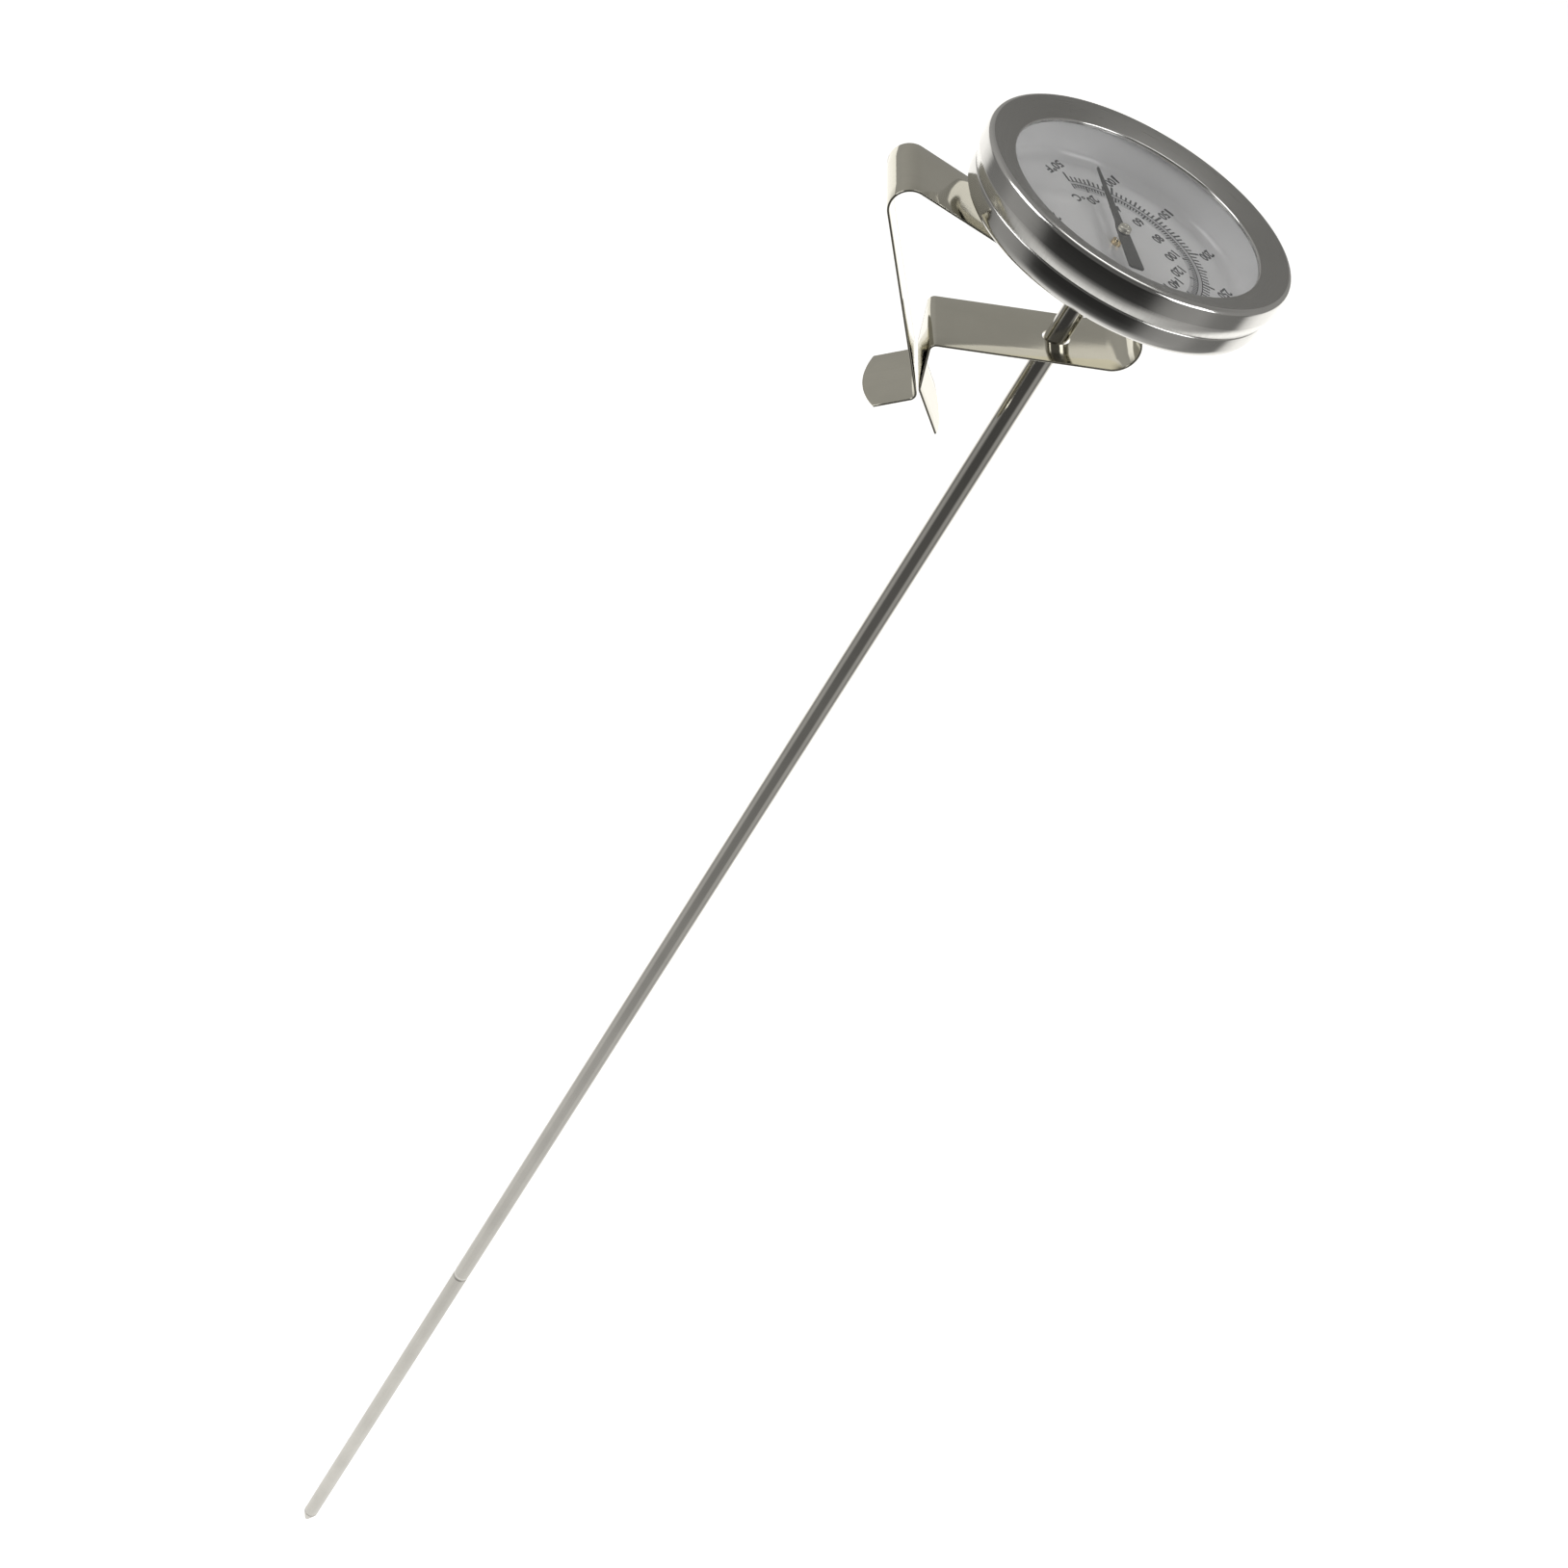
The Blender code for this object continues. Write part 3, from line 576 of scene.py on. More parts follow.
def make_dial(finishes):
    """The white dish, with a rim under the window and a flange over the case's neck."""
    outer = DIAL_WALL_R + DIAL_SHEET
    bore = (BUSHING_HIGH.x - BUSHING_LOW.x) / 2 + BUSHING_PLAY
    rim_bottom = DIAL_RIM - DIAL_RIM_SHEET
    cove = (DIAL_WALL_R - DIAL_COVE, DIAL_TOP + DIAL_COVE)
    points = [(LENS_R, DIAL_RIM), (LENS_R, rim_bottom), (outer, rim_bottom)]
    points += [(outer, DIAL_FLANGE), (LENS_R, DIAL_FLANGE)]
    points += [(LENS_R, DIAL_FLANGE - DIAL_SHEET), (outer, DIAL_FLANGE - DIAL_SHEET)]
    points += arc(cove, DIAL_COVE + DIAL_SHEET, 0, -90, 10)
    points += [(bore, DIAL_TOP - DIAL_SHEET), (bore, DIAL_TOP)]
    points += arc(cove, DIAL_COVE, -90, 0, 12)
    points += [(DIAL_WALL_R, DIAL_RIM)]
    made = turned("dial_dish", points, [finishes["dial"]])
    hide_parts("dial_plate")
    return made


# Printing on the dial --------------------------------------------------------------------------
def f_angle(degrees_f):
    """Where a Fahrenheit value stands on the dial."""
    return SCALE_START - PER_F * (degrees_f - FIRST_F)


def c_angle(degrees_c):
    """Where a Celsius value stands on the dial."""
    return f_angle(degrees_c * 9 / 5 + 32)


def tick(bm, angle, inner, outer, width):
    """Add one radial line between two shares of the bezel's radius."""
    along = heading(angle)
    across = Vector((-along.y, along.x)) * width / 2
    near, far = along * inner * BEZEL_R, along * outer * BEZEL_R
    corners = [near - across, far - across, far + across, near + across]
    outline = [(AXIS_X + corner.x, corner.y) for corner in corners]
    base = FRONT + DIAL_TOP
    prism(bm, outline, base, base + PRINT_SHEET)


def band(bm, inner, outer, rise):
    """Add an arc-shaped band over the whole scale, between two shares of the radius."""
    first, last = f_angle(FIRST_F) + BAND_END, f_angle(LAST_F) - BAND_END
    base = FRONT + DIAL_TOP
    columns = []
    for i in range(BAND_STEPS + 1):
        along = heading(first + (last - first) * i / BAND_STEPS)
        column = []
        for share, height in ((inner, 0.0), (inner, rise), (outer, rise), (outer, 0.0)):
            spot = along * share * BEZEL_R
            column.append(bm.verts.new((AXIS_X + spot.x, spot.y, base + height)))
        columns.append(column)
    for before, after in zip(columns, columns[1:]):
        for i in range(4):
            j = (i + 1) % 4
            bm.faces.new((before[i], after[i], after[j], before[j]))
    bm.faces.new(columns[0])
    bm.faces.new(columns[-1][::-1])


def text_mesh(words):
    """A flat solid mesh of some characters, at type size 1."""
    curve = bpy.data.curves.new("words", "FONT")
    curve.body = words
    curve.size = 1.0
    curve.extrude = 0.01
    curve.offset = DIGIT_BOLD
    curve.resolution_u = 3
    temporary = bpy.data.objects.new("words", curve)
    bpy.context.scene.collection.objects.link(temporary)
    bpy.context.view_layer.update()
    evaluated = temporary.evaluated_get(bpy.context.evaluated_depsgraph_get())
    mesh = bpy.data.meshes.new_from_object(evaluated)
    bpy.data.objects.remove(temporary)
    return mesh


def print_rise(reach):
    """Height of the dish above its floor, so that print near the wall lies on its cove."""
    past = max(0.0, reach + PRINT_CLEAR - DIAL_WALL_R + DIAL_COVE)
    return DIAL_COVE - math.sqrt(DIAL_COVE ** 2 - past ** 2)


def add_words(bm, words, angle, share, digits):
    """Add characters, upright on the dial; the first digits stand centred on the angle."""
    mesh = text_mesh(words)
    places = [vertex.co.copy() for vertex in mesh.vertices]
    low = min(place.x for place in places)
    high = max(place.x for place in places)
    tall = max(place.y for place in places)
    stretch = DIGIT_HEIGHT / tall
    pitch = NARROW_PITCH if digits > 2 else DIGIT_PITCH
    squeeze = pitch * (len(words) - 0.2) / (high - low)
    middle = low * squeeze + pitch * digits / 2
    reading, upright = heading(DIAL_UP - 90.0), heading(DIAL_UP)
    centre = heading(angle) * share * BEZEL_R
    deep = max(place.z for place in places) * 2
    for vertex, place in zip(mesh.vertices, places):
        flat = centre + reading * (place.x * squeeze - middle)
        flat += upright * (place.y * stretch - DIGIT_HEIGHT / 2)
        rise = (place.z / deep + 0.5) * PRINT_SHEET + print_rise(flat.length)
        vertex.co = (AXIS_X + flat.x, flat.y, FRONT + DIAL_TOP + rise)
    bm.from_mesh(mesh)
    bpy.data.meshes.remove(mesh)


def tick_style(value, styles):
    """End and width of the tick at a value: the first style whose step divides it."""
    return next((end, width) for step, end, width in styles if value % step == 0)


def fill_numbers(bm):
    """Add both rows of numbers and their units."""
    step_f, share_f = NUMBERS_F
    for value in range(FIRST_F, LAST_F + 1, step_f):
        words = f"{value}°F" if value == FIRST_F else str(value)
        add_words(bm, words, f_angle(value), share_f, len(str(value)))
    step_c, share_c = NUMBERS_C
    for value in range(step_c, LAST_C, step_c):
        add_words(bm, str(value), c_angle(value), share_c, len(str(value)))
    before, share = UNIT_C
    add_words(bm, "°C", c_angle(step_c) + before, share, len("°C"))


def make_printing(finishes):
    """Ticks, circles, the grey band and the numbers."""
    bm = bmesh.new()
    for value in range(FIRST_F, LAST_F + 1, TICKS_F[-1][0]):
        end, width = tick_style(value, TICKS_F)
        tick(bm, f_angle(value), RING_R[1] - TICK_OVERLAP, end, width)
    scale_f = piece("dial_ticks_fahrenheit", bm, [finishes["ink"]])
    bm = bmesh.new()
    for value in range(FIRST_C, LAST_C + 1, TICKS_C[-1][0]):
        end, width = tick_style(value, TICKS_C)
        tick(bm, c_angle(value), end, RING_R[0], width)
    scale_c = piece("dial_ticks_celsius", bm, [finishes["ink"]])
    bm = bmesh.new()
    for share in RING_R:
        band(bm, share - RING_HALF, share + RING_HALF, PRINT_SHEET * 1.2)
    rings = piece("dial_scale_circles", bm, [finishes["ink"]])
    bm = bmesh.new()
    band(bm, *SCALE_BAND, PRINT_SHEET * 0.5)
    grey = piece("dial_scale_band", bm, [finishes["grey_ink"]])
    bm = bmesh.new()
    fill_numbers(bm)
    bmesh.ops.remove_doubles(bm, verts=bm.verts, dist=MERGE_WITHIN)
    bmesh.ops.recalc_face_normals(bm, faces=bm.faces)
    numbers = piece("dial_numbers", bm, [finishes["ink"]])
    return [scale_f, scale_c, rings, grey, numbers]


# Pointer ---------------------------------------------------------------------------------------
def make_pointer(finishes):
    """Tapered blade with its counterweight and softened edges."""
    outline = [(POINTER_LENGTH, 0.0), *POINTER_EDGE]
    outline += [(x, -y) for x, y in reversed(POINTER_EDGE)]
    turn = Matrix.Rotation(math.radians(POINTER_ANGLE), 2)
    placed = []
    for x, y in outline:
        spot = turn @ Vector((x, y))
        placed.append((AXIS_X + spot.x, spot.y))
    bm = bmesh.new()
    prism(bm, placed, POINTER_LOW.z, POINTER_HIGH.z)
    bmesh.ops.bevel(bm, geom=list(bm.edges), offset=POINTER_SOFTENING, segments=2,
                    affect="EDGES")
    bmesh.ops.remove_doubles(bm, verts=bm.verts, dist=MERGE_WITHIN)
    made = piece("pointer_blade", bm, [finishes["pointer"]])
    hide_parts("pointer")
    return made


def make_hub(finishes):
    """Turned hub with a collar, a rounded top and the spindle's peened end."""
    radius = (HUB_HIGH.x - HUB_LOW.x) / 2
    top, bottom = HUB_HIGH.z - FRONT, HUB_LOW.z - FRONT
    neck = radius - 0.05
    sleeve_r, sleeve_length = HUB_SLEEVE
    outline = [(reach, top + rise) for reach, rise in HUB_DIMPLE]
    outline += arc((neck - HUB_EDGE_R, top - HUB_EDGE_R), HUB_EDGE_R, 90, 0, 5)
    outline += [(neck, bottom + HUB_COLLAR), (radius, bottom + HUB_COLLAR - 0.06)]
    outline += [(radius, bottom), (sleeve_r, bottom)]
    outline += [(sleeve_r, bottom - sleeve_length), (0.0, bottom - sleeve_length)]
    made = turned("pointer_hub_turned", outline, [finishes["hub"]], HUB_STEPS,
                  closed=False)
    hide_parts("pointer_hub")
    return made


# Stem ------------------------------------------------------------------------------------------
def make_stem(finishes):
    """The tube with its rolled groove, in one turned skin."""
    top, bottom = STEM_HIGH.z - FRONT, STEM_LOW.z - FRONT
    bore = STEM_R - TUBE_WALL
    points = [(STEM_R - TUBE_TOP_CHAMFER, top), (STEM_R, top - TUBE_TOP_CHAMFER)]
    for i in range(GROOVE_STEPS + 1):
        share = i / GROOVE_STEPS
        dip = GROOVE_DEPTH * math.sin(math.pi * share) ** 2
        points.append((STEM_R - dip, GROOVE_Z + GROOVE_WIDTH * (0.5 - share)))
    points += [(STEM_R, bottom + TUBE_END_CHAMFER), (STEM_R - TUBE_END_CHAMFER, bottom)]
    points += [(bore, bottom), (bore, top)]
    made = turned("stem_sleeve", points, [finishes["stem"]], STEM_STEPS)
    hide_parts("stem_tube")
    return made


def make_tip(finishes):
    """The plug: spigot, weld bead and a short round nose."""
    spigot_top, tip = PLUG_HIGH.z - FRONT, PLUG_LOW.z - FRONT
    seam = STEM_LOW.z - FRONT
    spigot_r = STEM_R - SPIGOT_PLAY
    ledge = seam + SPIGOT_LENGTH
    points = [(0.0, spigot_top), (SPINDLE_SEAT_R, spigot_top)]
    points += [(SPINDLE_SEAT_R, ledge), (spigot_r, ledge)]
    points += [(spigot_r, seam - 0.02), (STEM_R - 0.05, seam - 0.02)]
    points += arc((STEM_R - 0.12, seam - 0.26), WELD_R, 60, -60, 6)
    points += [(STEM_R - 0.02, seam - 0.45), (STEM_R - 0.04, seam - 0.65)]
    points += arc((0.0, tip + NOSE_R), NOSE_R, -12, -90, 9)
    made = turned("stem_tip", points, [finishes["stem"]], STEM_STEPS, closed=False)
    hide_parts("stem_tip_plug")
    return made


def make_nut(finishes):
    """Hexagon nut with rounded corners at both ends."""
    flats = NUT_HIGH.y - NUT_LOW.y
    top, bottom = NUT_HIGH.z, NUT_LOW.z
    corner_r = flats / math.sqrt(3)
    chamfer_r = flats / 2 * NUT_CHAMFER
    bore = STEM_R + BORE_PLAY
    ends = [(drop, chamfer_r + growth) for drop, growth in NUT_ROUNDING]
    ends.append((NUT_CORNER_DROP, corner_r))
    levels = [(top - drop, limit) for drop, limit in ends]
    levels += [(bottom + drop, limit) for drop, limit in reversed(ends)]
    bm = bmesh.new()
    rings = []
    for height, limit in levels + [(bottom, bore), (top, bore)]:
        ring = []
        for i in range(NUT_STEPS):
            angle = 2 * math.pi * i / NUT_STEPS
            off_flat = angle % (math.pi / 3) - math.pi / 6
            reach = bore if limit == bore else min(flats / 2 / math.cos(off_flat), limit)
            ring.append(bm.verts.new((AXIS_X + reach * math.sin(angle),
                                      reach * math.cos(angle), height)))
        rings.append(ring)
    for upper, lower in zip(rings, rings[1:] + rings[:1]):
        for i in range(NUT_STEPS):
            j = (i + 1) % NUT_STEPS
            bm.faces.new((upper[i], upper[j], lower[j], lower[i]))
    bmesh.ops.recalc_face_normals(bm, faces=bm.faces)
    made = piece("hexagon_nut", bm, [finishes["satin"]], NUT_SHARP_ANGLE)
    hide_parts("calibration_nut")
    return made


# The clip --------------------------------------------------------------------------------------
def leg_normal():
    """From the long leg towards the short leg."""
    return heading(90.0 - LONG_LEG_SLOPE)


def long_leg_start():
    """Middle of the strip where the top bend ends and the long leg begins."""
    return Vector(TOP_BEND) - TOP_BEND_R * leg_normal()


def upper_arm_heading():
    """Heading of the tangent that lies over the two bends of the upper arm."""
    run = Vector(SPRING_BEND) - Vector(TOP_BEND)
    rise = math.asin((SPRING_BEND_R - TOP_BEND_R) / run.length)
    return math.degrees(math.atan2(run.y, run.x) + rise)


def fillet(before, corner, after, radius, steps):
    """Arc that rounds a corner of the strip's middle line."""
    back = (before - corner).normalized()
    ahead = (after - corner).normalized()
    half = back.angle(ahead) / 2
    centre = corner + (back + ahead).normalized() * radius / math.sin(half)
    start = corner + back * radius / math.tan(half) - centre
    end = corner + ahead * radius / math.tan(half) - centre
    turn = start.angle_signed(end)
    first = math.atan2(start.y, start.x)
    angles = [first - turn * i / steps for i in range(steps + 1)]
    return [centre + radius * Vector((math.cos(a), math.sin(a))) for a in angles]


def tab(start, direction, length):
    """Points at a tab's end with their share of the half width: it ends in an arc."""
    half = CLIP_WIDTH / 2
    widest = math.asin(half / TAB_END_R)
    centre = start + heading(direction) * (length - TAB_END_R * math.cos(widest))
    steps = 16
    points = []
    for i in range(steps + 1):
        angle = widest * (1.0 - 0.97 * i / steps)
        place = centre + heading(direction) * TAB_END_R * math.cos(angle)
        points.append((place, TAB_END_R * math.sin(angle) / half))
    return points


def whole(points):
    """Give each point the strip's whole width."""
    return [(Vector(point), 1.0) for point in points]


def spaced(path, step=1.5):
    """Add points along the straight stretches, so that the strip can bend smoothly."""
    result = [path[0]]
    for (start, share), (end, end_share) in zip(path, path[1:]):
        parts = max(1, round((end - start).length / step))
        for i in range(1, parts + 1):
            part = i / parts
            result.append((start.lerp(end, part), share + (end_share - share) * part))
    return result


def lower_path():
    """Spring bend, lower arm, short leg and its tab."""
    top_angle = 90.0 + upper_arm_heading()
    bend = arc(SPRING_BEND, SPRING_BEND_R, top_angle, LOWER_ARM_SLOPE - 90.0, 48)
    arm = -heading(LOWER_ARM_SLOPE)
    leg = heading(-SHORT_LEG_SLOPE)
    grip = long_leg_start() + heading(-LONG_LEG_SLOPE) * GRIP_AT
    fold_centre = grip + leg_normal() * (FOLD_R + STRIP + GRIP_GAP)
    fold = arc(fold_centre, FOLD_R, -SHORT_LEG_SLOPE - 90.0, SHORT_TAB[0] - 90.0, 12)
    start, end = Vector(bend[-1]), Vector(fold[0])
    across = end - start
    reach = (across.x * leg.y - across.y * leg.x) / (arm.x * leg.y - arm.y * leg.x)
    corner = start + arm * reach
    path = whole(bend) + whole(fillet(start, corner, end, SHORT_LEG_BEND_R, 16)) + whole(fold)
    return spaced(path + tab(Vector(fold[-1]), *SHORT_TAB))


def upper_path():
    """Upper arm, top bend, long leg and its tab."""
    top_angle = 90.0 + upper_arm_heading()
    start = Vector(SPRING_BEND) + SPRING_BEND_R * heading(top_angle)
    leg = heading(-LONG_LEG_SLOPE)
    fold = long_leg_start() + leg * LONG_LEG
    tab_end = fold + heading(LONG_TAB[0]) * LONG_TAB[1]
    path = whole([start]) + whole(arc(TOP_BEND, TOP_BEND_R, top_angle, 270.0 - LONG_LEG_SLOPE, 44))
    path += whole(fillet(long_leg_start(), fold, tab_end, FOLD_R, 18))
    return spaced(path + tab(fold, *LONG_TAB))


def strip_section():
    """Cross-section of the strip: (across its thickness, along its width as a share of 1)."""
    half, thick = CLIP_WIDTH / 2, STRIP / 2
    corner = (half - EDGE_R, thick - EDGE_R)
    quarter = arc(corner, EDGE_R, 0, 90, 3)
    middle = [(corner[0] * share, thick) for share in (0.6, 0.2, -0.2, -0.6)]
    side = quarter + middle + [(-x, y) for x, y in reversed(quarter)]
    return side + [(-x, -y) for x, y in side]


def sweep(bm, path):
    """Add the strip along (point, share of half width) in the clip's side view."""
    places = [place for place, share in path]
    section = strip_section()
    rings = []
    for i, (place, share) in enumerate(path):
        before, after = places[max(i - 1, 0)], places[min(i + 1, len(places) - 1)]
        along = (after - before).normalized()
        across = Vector((-along.y, along.x))
        ring = []
        for width, thick in section:
            spot = place + across * thick
            ring.append(bm.verts.new((AXIS_X + spot.x, width * share, FRONT + spot.y)))
        rings.append(ring)
    count = len(section)
    for ring, following in zip(rings, rings[1:]):
        for i in range(count):
            j = (i + 1) % count
            bm.faces.new((ring[i], ring[j], following[j], following[i]))
    bm.faces.new(rings[0][::-1])
    bm.faces.new(rings[-1])
    bmesh.ops.recalc_face_normals(bm, faces=bm.faces)


def slot_cutter(hole, bottom, top):
    """A solid slot with round ends, for cutting the stem's hole in an arm."""
    offset, half_length, half_width = hole
    straight = half_length - half_width
    right = arc((AXIS_X + offset + straight, 0.0), half_width, -90, 90, 24)
    left = arc((AXIS_X + offset - straight, 0.0), half_width, 90, 270, 24)
    bm = bmesh.new()
    prism(bm, right + left, FRONT + bottom, FRONT + top)
    bmesh.ops.scale(bm, vec=(MM, MM, MM), verts=bm.verts)
    mesh = bpy.data.meshes.new("slot_cutter")
    bm.to_mesh(mesh)
    bm.free()
    made = bpy.data.objects.new("slot_cutter", mesh)
    bpy.context.scene.collection.objects.link(made)
    return made


def cut_slot(made, hole, bottom, top):
    """Cut the slot for good, so that only the finished mesh is left."""
    cutter = slot_cutter(hole, bottom, top)
    boolean = made.modifiers.new("cut", "BOOLEAN")
    boolean.operation = "DIFFERENCE"
    boolean.solver = "EXACT"
    boolean.object = cutter
    evaluated = made.evaluated_get(bpy.context.evaluated_depsgraph_get())
    mesh = bpy.data.meshes.new_from_object(evaluated)
    mesh.name = made.name
    made.modifiers.clear()
    made.data = mesh
    mesh.shade_smooth()
    mesh.set_sharp_from_angle(angle=math.radians(SHARP_ANGLE))
    bpy.data.objects.remove(cutter)


def make_clip(finishes):
    """The whole bent strip in two pieces that meet on top of the spring bend."""
    bm = bmesh.new()
    sweep(bm, lower_path())
    lower = piece("clip_strip_lower", bm, [finishes["strip"]])
    cut_slot(lower, LOWER_HOLE, *LOWER_HOLE_REACH)
    bm = bmesh.new()
    sweep(bm, upper_path())
    upper = piece("clip_strip_upper", bm, [finishes["strip"]])
    cut_slot(upper, UPPER_HOLE, *UPPER_HOLE_REACH)
    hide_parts("clip_lower_arm")
    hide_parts("clip_upper_arm", "clip_jaw_leg")
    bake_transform(lower)
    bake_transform(upper)
    return lower, upper


# Materials on the CAD nodes that stay visible ---------------------------------------------------
def paint_cad(finishes):
    """Give every CAD node that is still shown its finish."""
    chosen = {
        "lens_gasket": "rubber", "dial_bushing": "brass", "spindle": "stem",
        "coil_top_collar": "satin", "bimetal_coil": "bimetal", "spring_washer": "satin",
        "retaining_collar": "brass", "spindle_guide_upper": "brass",
        "spindle_guide_middle": "brass", "spindle_guide_lower": "brass",
    }
    for node, finish in chosen.items():
        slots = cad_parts[node].material_slots
        for index in range(len(slots)):
            slots[index].material = finishes[finish]


# Floor, light and camera -----------------------------------------------------------------------
def level_ramp(tree, value, stops):
    """A slightly warm grey that follows (position, level) stops."""
    made = add(tree, "ShaderNodeValToRGB", {"Fac": value})
    elements = made.color_ramp.elements
    while len(elements) < len(stops):
        elements.new(1.0)
    for element, (position, level) in zip(elements, stops):
        element.position = position
        element.color = (level, level * 0.985, level * 0.95, 1.0)
    return made.outputs["Color"]


def disc(name, radius, height, finish):
    """A large round sheet."""
    bm = bmesh.new()
    bmesh.ops.create_circle(bm, cap_ends=True, segments=96, radius=radius)
    mesh = bpy.data.meshes.new(name)
    bm.to_mesh(mesh)
    bm.free()
    mesh.materials.append(finish)
    made = bpy.data.objects.new(name, mesh)
    made.location = (AXIS_X * MM, 0.0, height)
    bpy.context.scene.collection.objects.link(made)
    return made


def floor_paint():
    """Pale floor, a little self-lit so that it stays plain."""
    made, tree, shader = new_material("floor_pale")
    place = add(tree, "ShaderNodeTexCoord").outputs["Object"]
    cloud = noise(tree, place, 3.0)
    tree.links.new(mixed(tree, cloud, (0.86, 0.86, 0.86), (0.9, 0.9, 0.9)),
                   shader.inputs["Base Color"])
    shader.inputs["Roughness"].default_value = 0.9
    shader.inputs["Specular IOR Level"].default_value = 0.0
    shader.inputs["Emission Color"].default_value = (1.0, 1.0, 1.0, 1.0)
    shader.inputs["Emission Strength"].default_value = FLOOR_GLOW
    return made


def table_reflection():
    """What polished metal sees of the table: white under the stem, dark towards the camera."""
    made = bpy.data.materials.new("table_reflection")
    made.use_nodes = True
    tree = made.node_tree
    tree.nodes.clear()
    place = add(tree, "ShaderNodeTexCoord").outputs["Object"]
    turn = add(tree, "ShaderNodeTexGradient", {"Vector": place}, gradient_type="RADIAL")
    off = add(tree, "ShaderNodeMath", {0: turn.outputs["Fac"], 1: 0.5}, operation="SUBTRACT")
    side = add(tree, "ShaderNodeMath", {0: off.outputs["Value"]}, operation="ABSOLUTE")
    around = level_ramp(tree, side.outputs["Value"], TABLE_AROUND)
    distance = add(tree, "ShaderNodeVectorMath", {0: place}, operation="LENGTH")
    near = level_ramp(tree, distance.outputs["Value"], TABLE_NEAR)
    colour = mixed(tree, near, around, (0.99, 0.98, 0.95))
    glow = add(tree, "ShaderNodeEmission", {"Color": colour, "Strength": 1.0})
    out = add(tree, "ShaderNodeOutputMaterial")
    tree.links.new(glow.outputs["Emission"], out.inputs["Surface"])
    return made


def make_floor():
    """The floor, and the sheet that only reflections see."""
    height = PLUG_LOW.z * MM - FLOOR_BELOW * MM
    floor = disc("floor", FLOOR_R, height, floor_paint())
    floor.visible_glossy = False
    table = disc("table_in_reflections", FLOOR_R, height + REFLECTION_RISE, table_reflection())
    table.rotation_euler.z = math.radians(-90.0 - CAMERA_AZIMUTH)
    for ray in ("camera", "diffuse", "transmission", "volume_scatter", "shadow"):
        setattr(table, "visible_" + ray, False)


def make_world():
    """A soft grey room: darker on the camera's side, light overhead, white to the eye."""
    world = bpy.data.worlds.new("studio")
    world.use_nodes = True
    bpy.context.scene.world = world
    tree = world.node_tree
    tree.nodes.clear()
    way = add(tree, "ShaderNodeTexCoord").outputs["Generated"]
    rise = add(tree, "ShaderNodeSeparateXYZ", {"Vector": way}).outputs["Z"]
    walls = level_ramp(tree, rise, WALLS)
    bright = facing(tree, way, BRIGHT_SIDE, *BRIGHT_RANGE)
    dark = facing(tree, way, camera_side(), *DARK_RANGE)
    level = add(tree, "ShaderNodeMath", {0: bright, 1: dark}, operation="MULTIPLY")
    seen = add(tree, "ShaderNodeLightPath").outputs["Is Camera Ray"]
    strength = add(tree, "ShaderNodeMix", {"Factor": seen, "B": 1.0}, data_type="FLOAT")
    tree.links.new(level.outputs["Value"], strength.inputs["A"])
    colour = mixed(tree, seen, walls, (1.0, 1.0, 1.0))
    back = add(tree, "ShaderNodeBackground", {"Color": colour,
                                              "Strength": strength.outputs["Result"]})
    out = add(tree, "ShaderNodeOutputWorld")
    tree.links.new(back.outputs["Background"], out.inputs["Surface"])


def facing(tree, way, direction, first, last, low, high):
    """A level that changes with how much a way points in a direction."""
    dot = add(tree, "ShaderNodeVectorMath", {0: way, 1: direction}, operation="DOT_PRODUCT")
    return add(tree, "ShaderNodeMapRange",
               {"Value": dot.outputs["Value"], "From Min": first, "From Max": last,
                "To Min": low, "To Max": high}, interpolation_type="SMOOTHSTEP").outputs["Result"]


def camera_side():
    """Level direction from the object towards the camera."""
    azimuth = math.radians(CAMERA_AZIMUTH)
    return -math.sin(azimuth), -math.cos(azimuth), 0.0


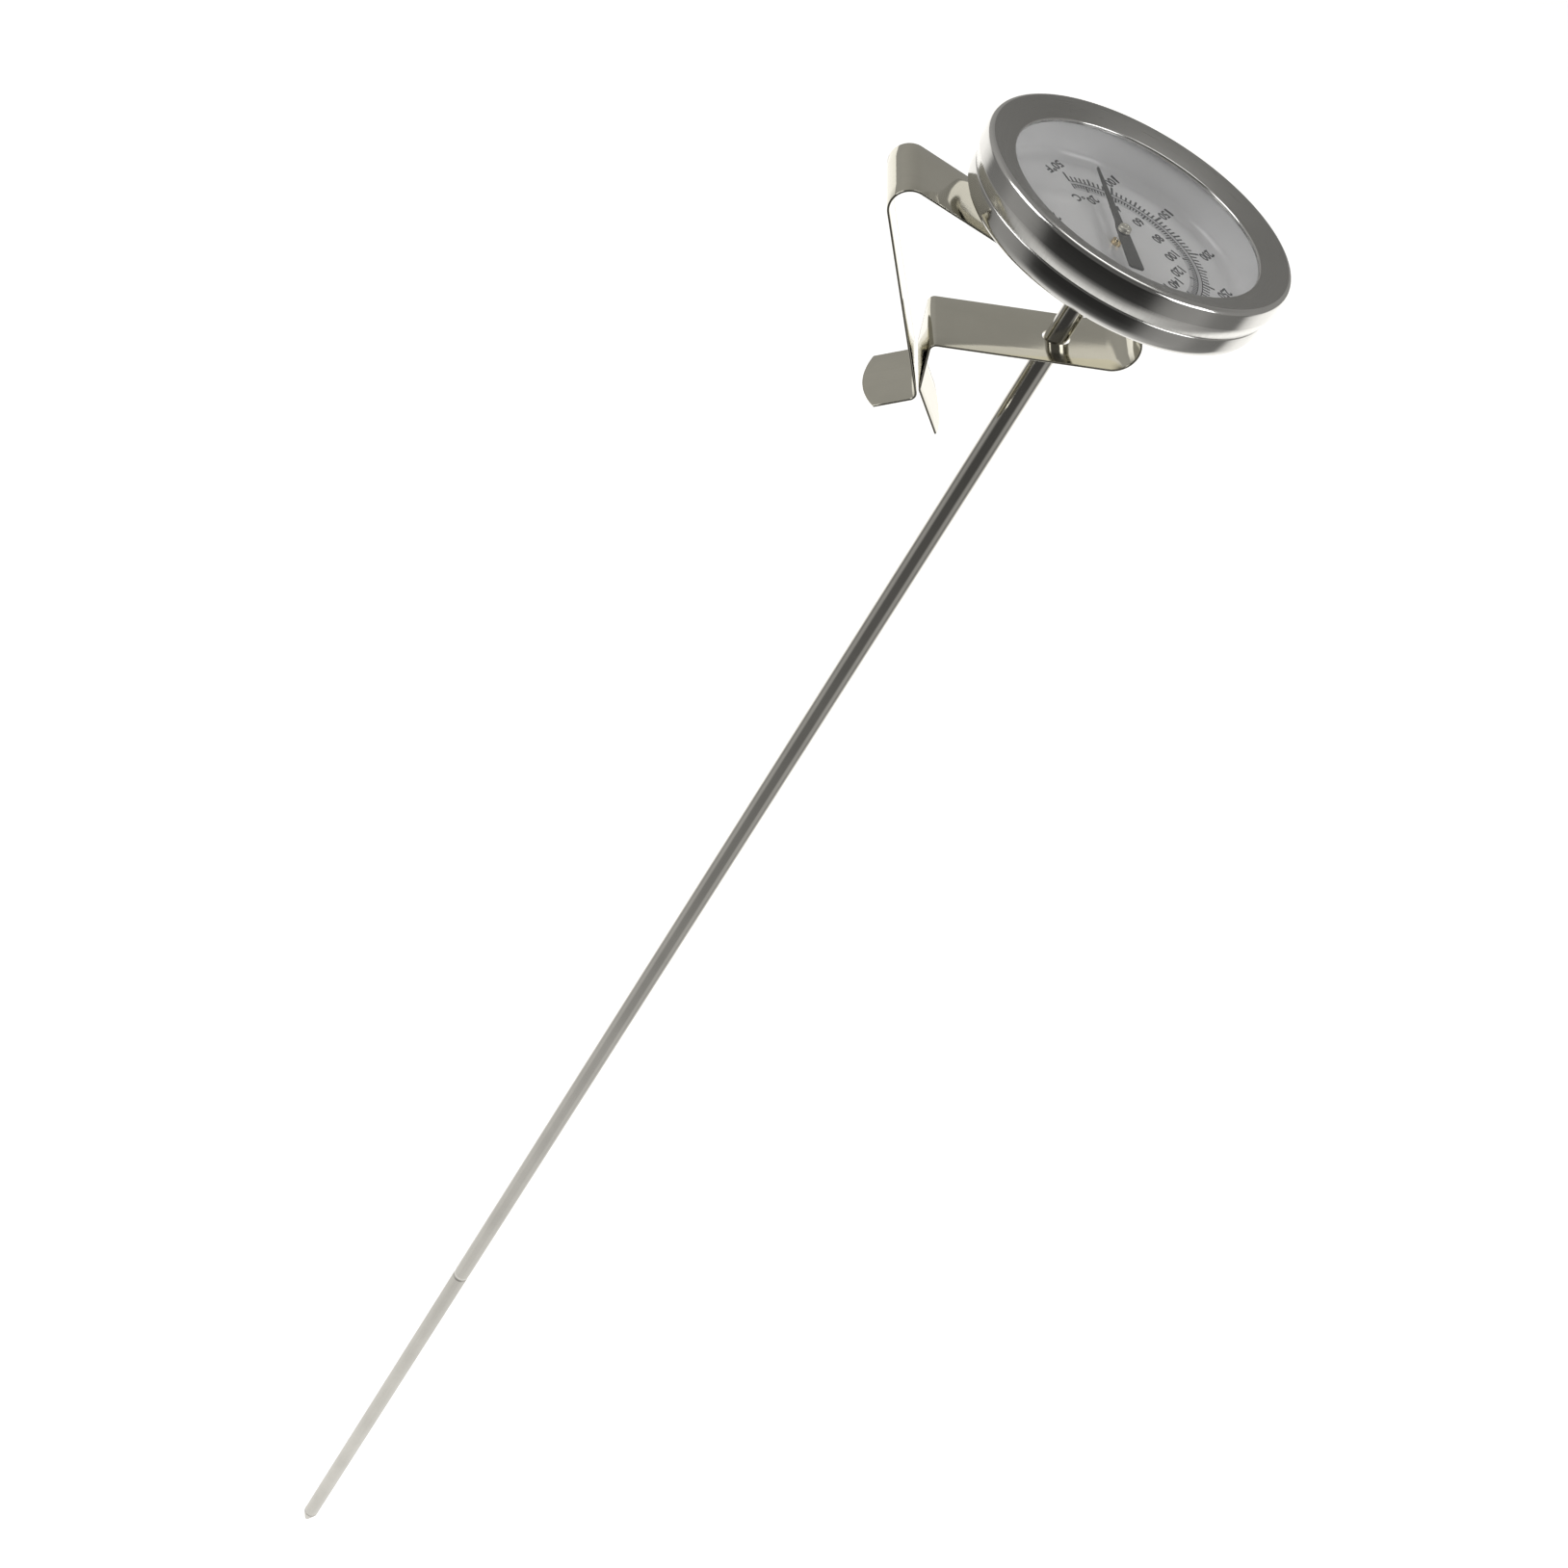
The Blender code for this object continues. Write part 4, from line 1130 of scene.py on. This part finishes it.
def camera_axes():
    """Right, up and forward of the camera."""
    azimuth, pitch = math.radians(CAMERA_AZIMUTH), math.radians(CAMERA_PITCH)
    forward = Vector((math.sin(azimuth) * math.cos(pitch), math.cos(azimuth) * math.cos(pitch),
                      math.sin(pitch)))
    level = Vector((math.cos(azimuth), -math.sin(azimuth), 0.0))
    raised = level.cross(forward)
    roll = math.radians(CAMERA_ROLL)
    right = level * math.cos(roll) + raised * math.sin(roll)
    return right, right.cross(forward), forward


def make_camera():
    """The camera, rolled so that the stem runs from corner to corner."""
    right, up, forward = camera_axes()
    data = bpy.data.cameras.new("camera")
    data.sensor_width = SENSOR
    data.lens = CAMERA_LENS
    data.clip_start = 0.01
    data.clip_end = 50.0
    camera = bpy.data.objects.new("camera", data)
    turn = Matrix((right, up, -forward)).transposed()
    camera.matrix_world = Matrix.Translation((HEAD + CAMERA_FROM_HEAD) * MM) @ turn.to_4x4()
    bpy.context.scene.collection.objects.link(camera)
    bpy.context.scene.camera = camera


def softbox(name, azimuth, elevation, distance, size, radiance):
    """A soft area light; azimuth is measured from the camera's side, positive to its right."""
    angle = math.radians(-90.0 - CAMERA_AZIMUTH + azimuth)
    rise = math.radians(elevation)
    way = Vector((math.cos(angle) * math.cos(rise), math.sin(angle) * math.cos(rise),
                  math.sin(rise)))
    data = bpy.data.lights.new(name, "AREA")
    data.shape = "RECTANGLE"
    data.size, data.size_y = size
    data.energy = radiance * math.pi * size[0] * size[1]
    light = bpy.data.objects.new(name, data)
    light.location = HEAD * MM + way * distance
    light.rotation_mode = "QUATERNION"
    light.rotation_quaternion = (-way).to_track_quat("-Z", "Y")
    bpy.context.scene.collection.objects.link(light)


def make_lights():
    """Two large soft boxes beside the camera and one overhead."""
    for settings in SOFTBOXES:
        softbox(*settings)


def main():
    """Build every piece and put each on its body."""
    finishes = make_finishes()
    for made in (make_bezel(finishes), make_case(finishes), make_lens(finishes),
                 make_dial(finishes), *make_printing(finishes)):
        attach(made, "case")
    for made in (make_pointer(finishes), make_hub(finishes)):
        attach(made, "pointer")
    for made in (make_stem(finishes), make_tip(finishes), make_nut(finishes)):
        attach(made, "stem")
    make_clip(finishes)
    paint_cad(finishes)
    make_floor()
    make_world()
    make_lights()
    make_camera()
    bpy.context.scene.view_settings.view_transform = "Standard"


main()
